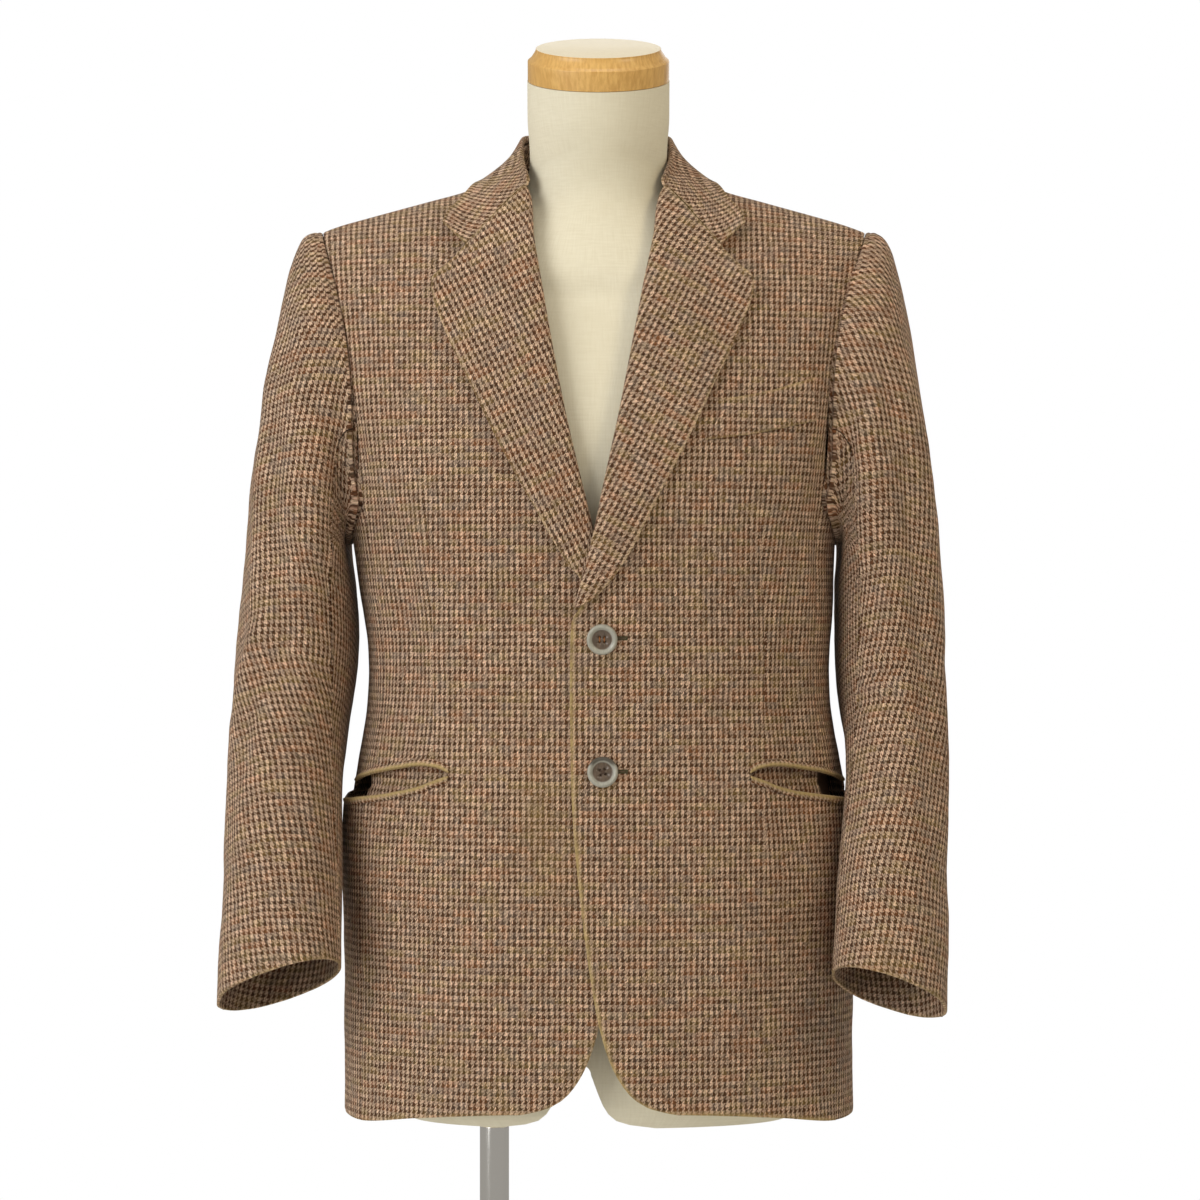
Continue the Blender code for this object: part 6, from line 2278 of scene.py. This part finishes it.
class JacketCloth(bpy.types.PropertyGroup):
    """The tweed"""

    warp_pitch: length_setting("Warp pitch", "Distance between two warp threads", 0.00053)
    weft_pitch: length_setting("Weft pitch", "Distance between two weft threads", 0.00066)
    light_wool: colour_setting("Light wool", "Cream threads of the warp", (0.605, 0.438, 0.300))
    fawn_wool: colour_setting("Fawn wool", "Fawn threads of the weft", (0.470, 0.326, 0.230))
    dark_wool: colour_setting("Dark wool", "Dark brown threads", (0.087, 0.039, 0.0185))
    rust: colour_setting("Rust flecks", "Heather tint", (0.480, 0.170, 0.060))
    slate: colour_setting("Slate flecks", "Heather tint", (0.270, 0.250, 0.225))
    moss: colour_setting("Moss flecks", "Heather tint", (0.400, 0.300, 0.090))
    worn_edge: colour_setting("Worn edge", "Rubbed wool on the edges", (0.470, 0.345, 0.145))
    soil: colour_setting("Soil", "Old marks on the cloth", (0.260, 0.165, 0.050))
    heather: share_setting("Heather", "How strongly the tints show", 0.55)


class JacketButtons(bpy.types.PropertyGroup):
    """The buttons and their thread"""

    front_radius: length_setting("Front radius", "Radius of a front button", 0.0115)
    front_thickness: length_setting("Front thickness", "Thickness of a front button", 0.0040)
    cuff_radius: length_setting("Cuff radius", "Radius of a cuff button", 0.0074)
    cuff_thickness: length_setting("Cuff thickness", "Thickness of a cuff button", 0.0030)
    rim: colour_setting("Rim", "Pale horn of the rim", (0.430, 0.420, 0.350))
    middle: colour_setting("Middle", "Dark horn of the middle", (0.085, 0.058, 0.038))
    thread: colour_setting("Thread", "Thread of the upper button", (0.330, 0.120, 0.030))
    twist: colour_setting("Buttonhole twist", "Thread of the buttonholes", (0.085, 0.070, 0.028))


class JacketForm(bpy.types.PropertyGroup):
    """The dress form and its stand"""

    linen: colour_setting("Linen", "Cover of the form", (0.880, 0.830, 0.660))
    honey_wood: colour_setting("Honey wood", "Band of the neck cap", (0.800, 0.490, 0.150))
    # the pole socket's own pale wood; on the neck cap's top the same colour is painted light from above
    pale_wood: colour_setting("Pale wood", "Top of the neck cap", (0.960, 0.870, 0.650))


class JacketStudio(bpy.types.PropertyGroup):
    """The studio"""

    camera_distance: length_setting("Camera distance", "In front of the jacket", 3.0)
    camera_height: length_setting("Camera height", "Above the floor", 1.0)
    camera_across: length_setting("Camera across", "To the wearer's left", 0.0008)
    lens: FloatProperty(name="Lens", description="Focal length", default=117.0, unit="CAMERA", min=10.0)
    floor_radius: length_setting("Floor radius", "Radius of the pale floor", 3.2)
    ambient: number_setting("Ambient", "Light from all round", 0.34)
    key_power: power_setting("Key", "Main light, from the wearer's right", 82.0)
    fill_power: power_setting("Fill", "Softer light from the left", 15.0)
    top_power: power_setting("Top", "Light from above", 14.0)
    rim_power: power_setting("Back", "Light from behind", 10.0)


class JACKET_OT_body(bpy.types.Operator):
    """Lay the fronts, side panels and backs"""

    bl_idname = "jacket.body"
    bl_label = "Body panels"

    def execute(self, context):
        make_body()
        return {"FINISHED"}


class JACKET_OT_pockets(bpy.types.Operator):
    """Work the hip pockets and the breast welt"""

    bl_idname = "jacket.pockets"
    bl_label = "Pockets and welt"

    def execute(self, context):
        make_pockets()
        return {"FINISHED"}


class JACKET_OT_collar(bpy.types.Operator):
    """Turn the lapels and the collar"""

    bl_idname = "jacket.collar"
    bl_label = "Lapels and collar"

    def execute(self, context):
        make_collar()
        return {"FINISHED"}


class JACKET_OT_sleeves(bpy.types.Operator):
    """Set the two-piece sleeves"""

    bl_idname = "jacket.sleeves"
    bl_label = "Sleeves"

    def execute(self, context):
        make_sleeves()
        return {"FINISHED"}


class JACKET_OT_buttons(bpy.types.Operator):
    """Sew the buttons and work the buttonholes"""

    bl_idname = "jacket.buttons"
    bl_label = "Buttons"

    def execute(self, context):
        make_buttons()
        return {"FINISHED"}


class JACKET_OT_form(bpy.types.Operator):
    """Build the linen form"""

    bl_idname = "jacket.form"
    bl_label = "Dress form"

    def execute(self, context):
        make_form()
        return {"FINISHED"}


class JACKET_OT_stand(bpy.types.Operator):
    """Build the neck cap, pole and base"""

    bl_idname = "jacket.stand"
    bl_label = "Cap and stand"

    def execute(self, context):
        make_stand()
        return {"FINISHED"}


class JACKET_OT_studio(bpy.types.Operator):
    """Set the floor, lights and camera"""

    bl_idname = "jacket.studio"
    bl_label = "Studio"

    def execute(self, context):
        make_studio()
        return {"FINISHED"}


SETTINGS = (
    ("jacket_cloth", JacketCloth),
    ("jacket_buttons", JacketButtons),
    ("jacket_form", JacketForm),
    ("jacket_studio", JacketStudio),
)
OPERATORS = (
    JACKET_OT_body,
    JACKET_OT_pockets,
    JACKET_OT_collar,
    JACKET_OT_sleeves,
    JACKET_OT_buttons,
    JACKET_OT_form,
    JACKET_OT_stand,
    JACKET_OT_studio,
)


class JACKET_PT_panel(bpy.types.Panel):
    """Lists the jacket's settings and steps"""

    bl_idname = "JACKET_PT_panel"
    bl_label = "Tweed jacket"
    bl_space_type = "VIEW_3D"
    bl_region_type = "UI"
    bl_category = "Jacket"

    def draw(self, context):
        for label, group in SETTINGS:
            box = self.layout.box()
            box.label(text=group.__doc__)
            settings = getattr(context.scene, label)
            for name in group.__annotations__:
                box.prop(settings, name)
        for operator in OPERATORS:
            self.layout.operator(operator.bl_idname)


def register():
    """Adds the settings, the steps and the panel."""
    for label, group in SETTINGS:
        bpy.utils.register_class(group)
        setattr(bpy.types.Scene, label, PointerProperty(type=group))
    for made in (*OPERATORS, JACKET_PT_panel):
        bpy.utils.register_class(made)


def unregister():
    """Takes them away again."""
    for made in reversed((*OPERATORS, JACKET_PT_panel)):
        bpy.utils.unregister_class(made)
    for label, group in reversed(SETTINGS):
        delattr(bpy.types.Scene, label)
        bpy.utils.unregister_class(group)


def main():
    """Registers the settings and steps, then builds every piece."""
    register()
    for operator in OPERATORS:
        getattr(bpy.ops.jacket, operator.bl_idname.split(".")[1])()
    bpy.context.view_layer.update()


if __name__ == "__main__":
    main()
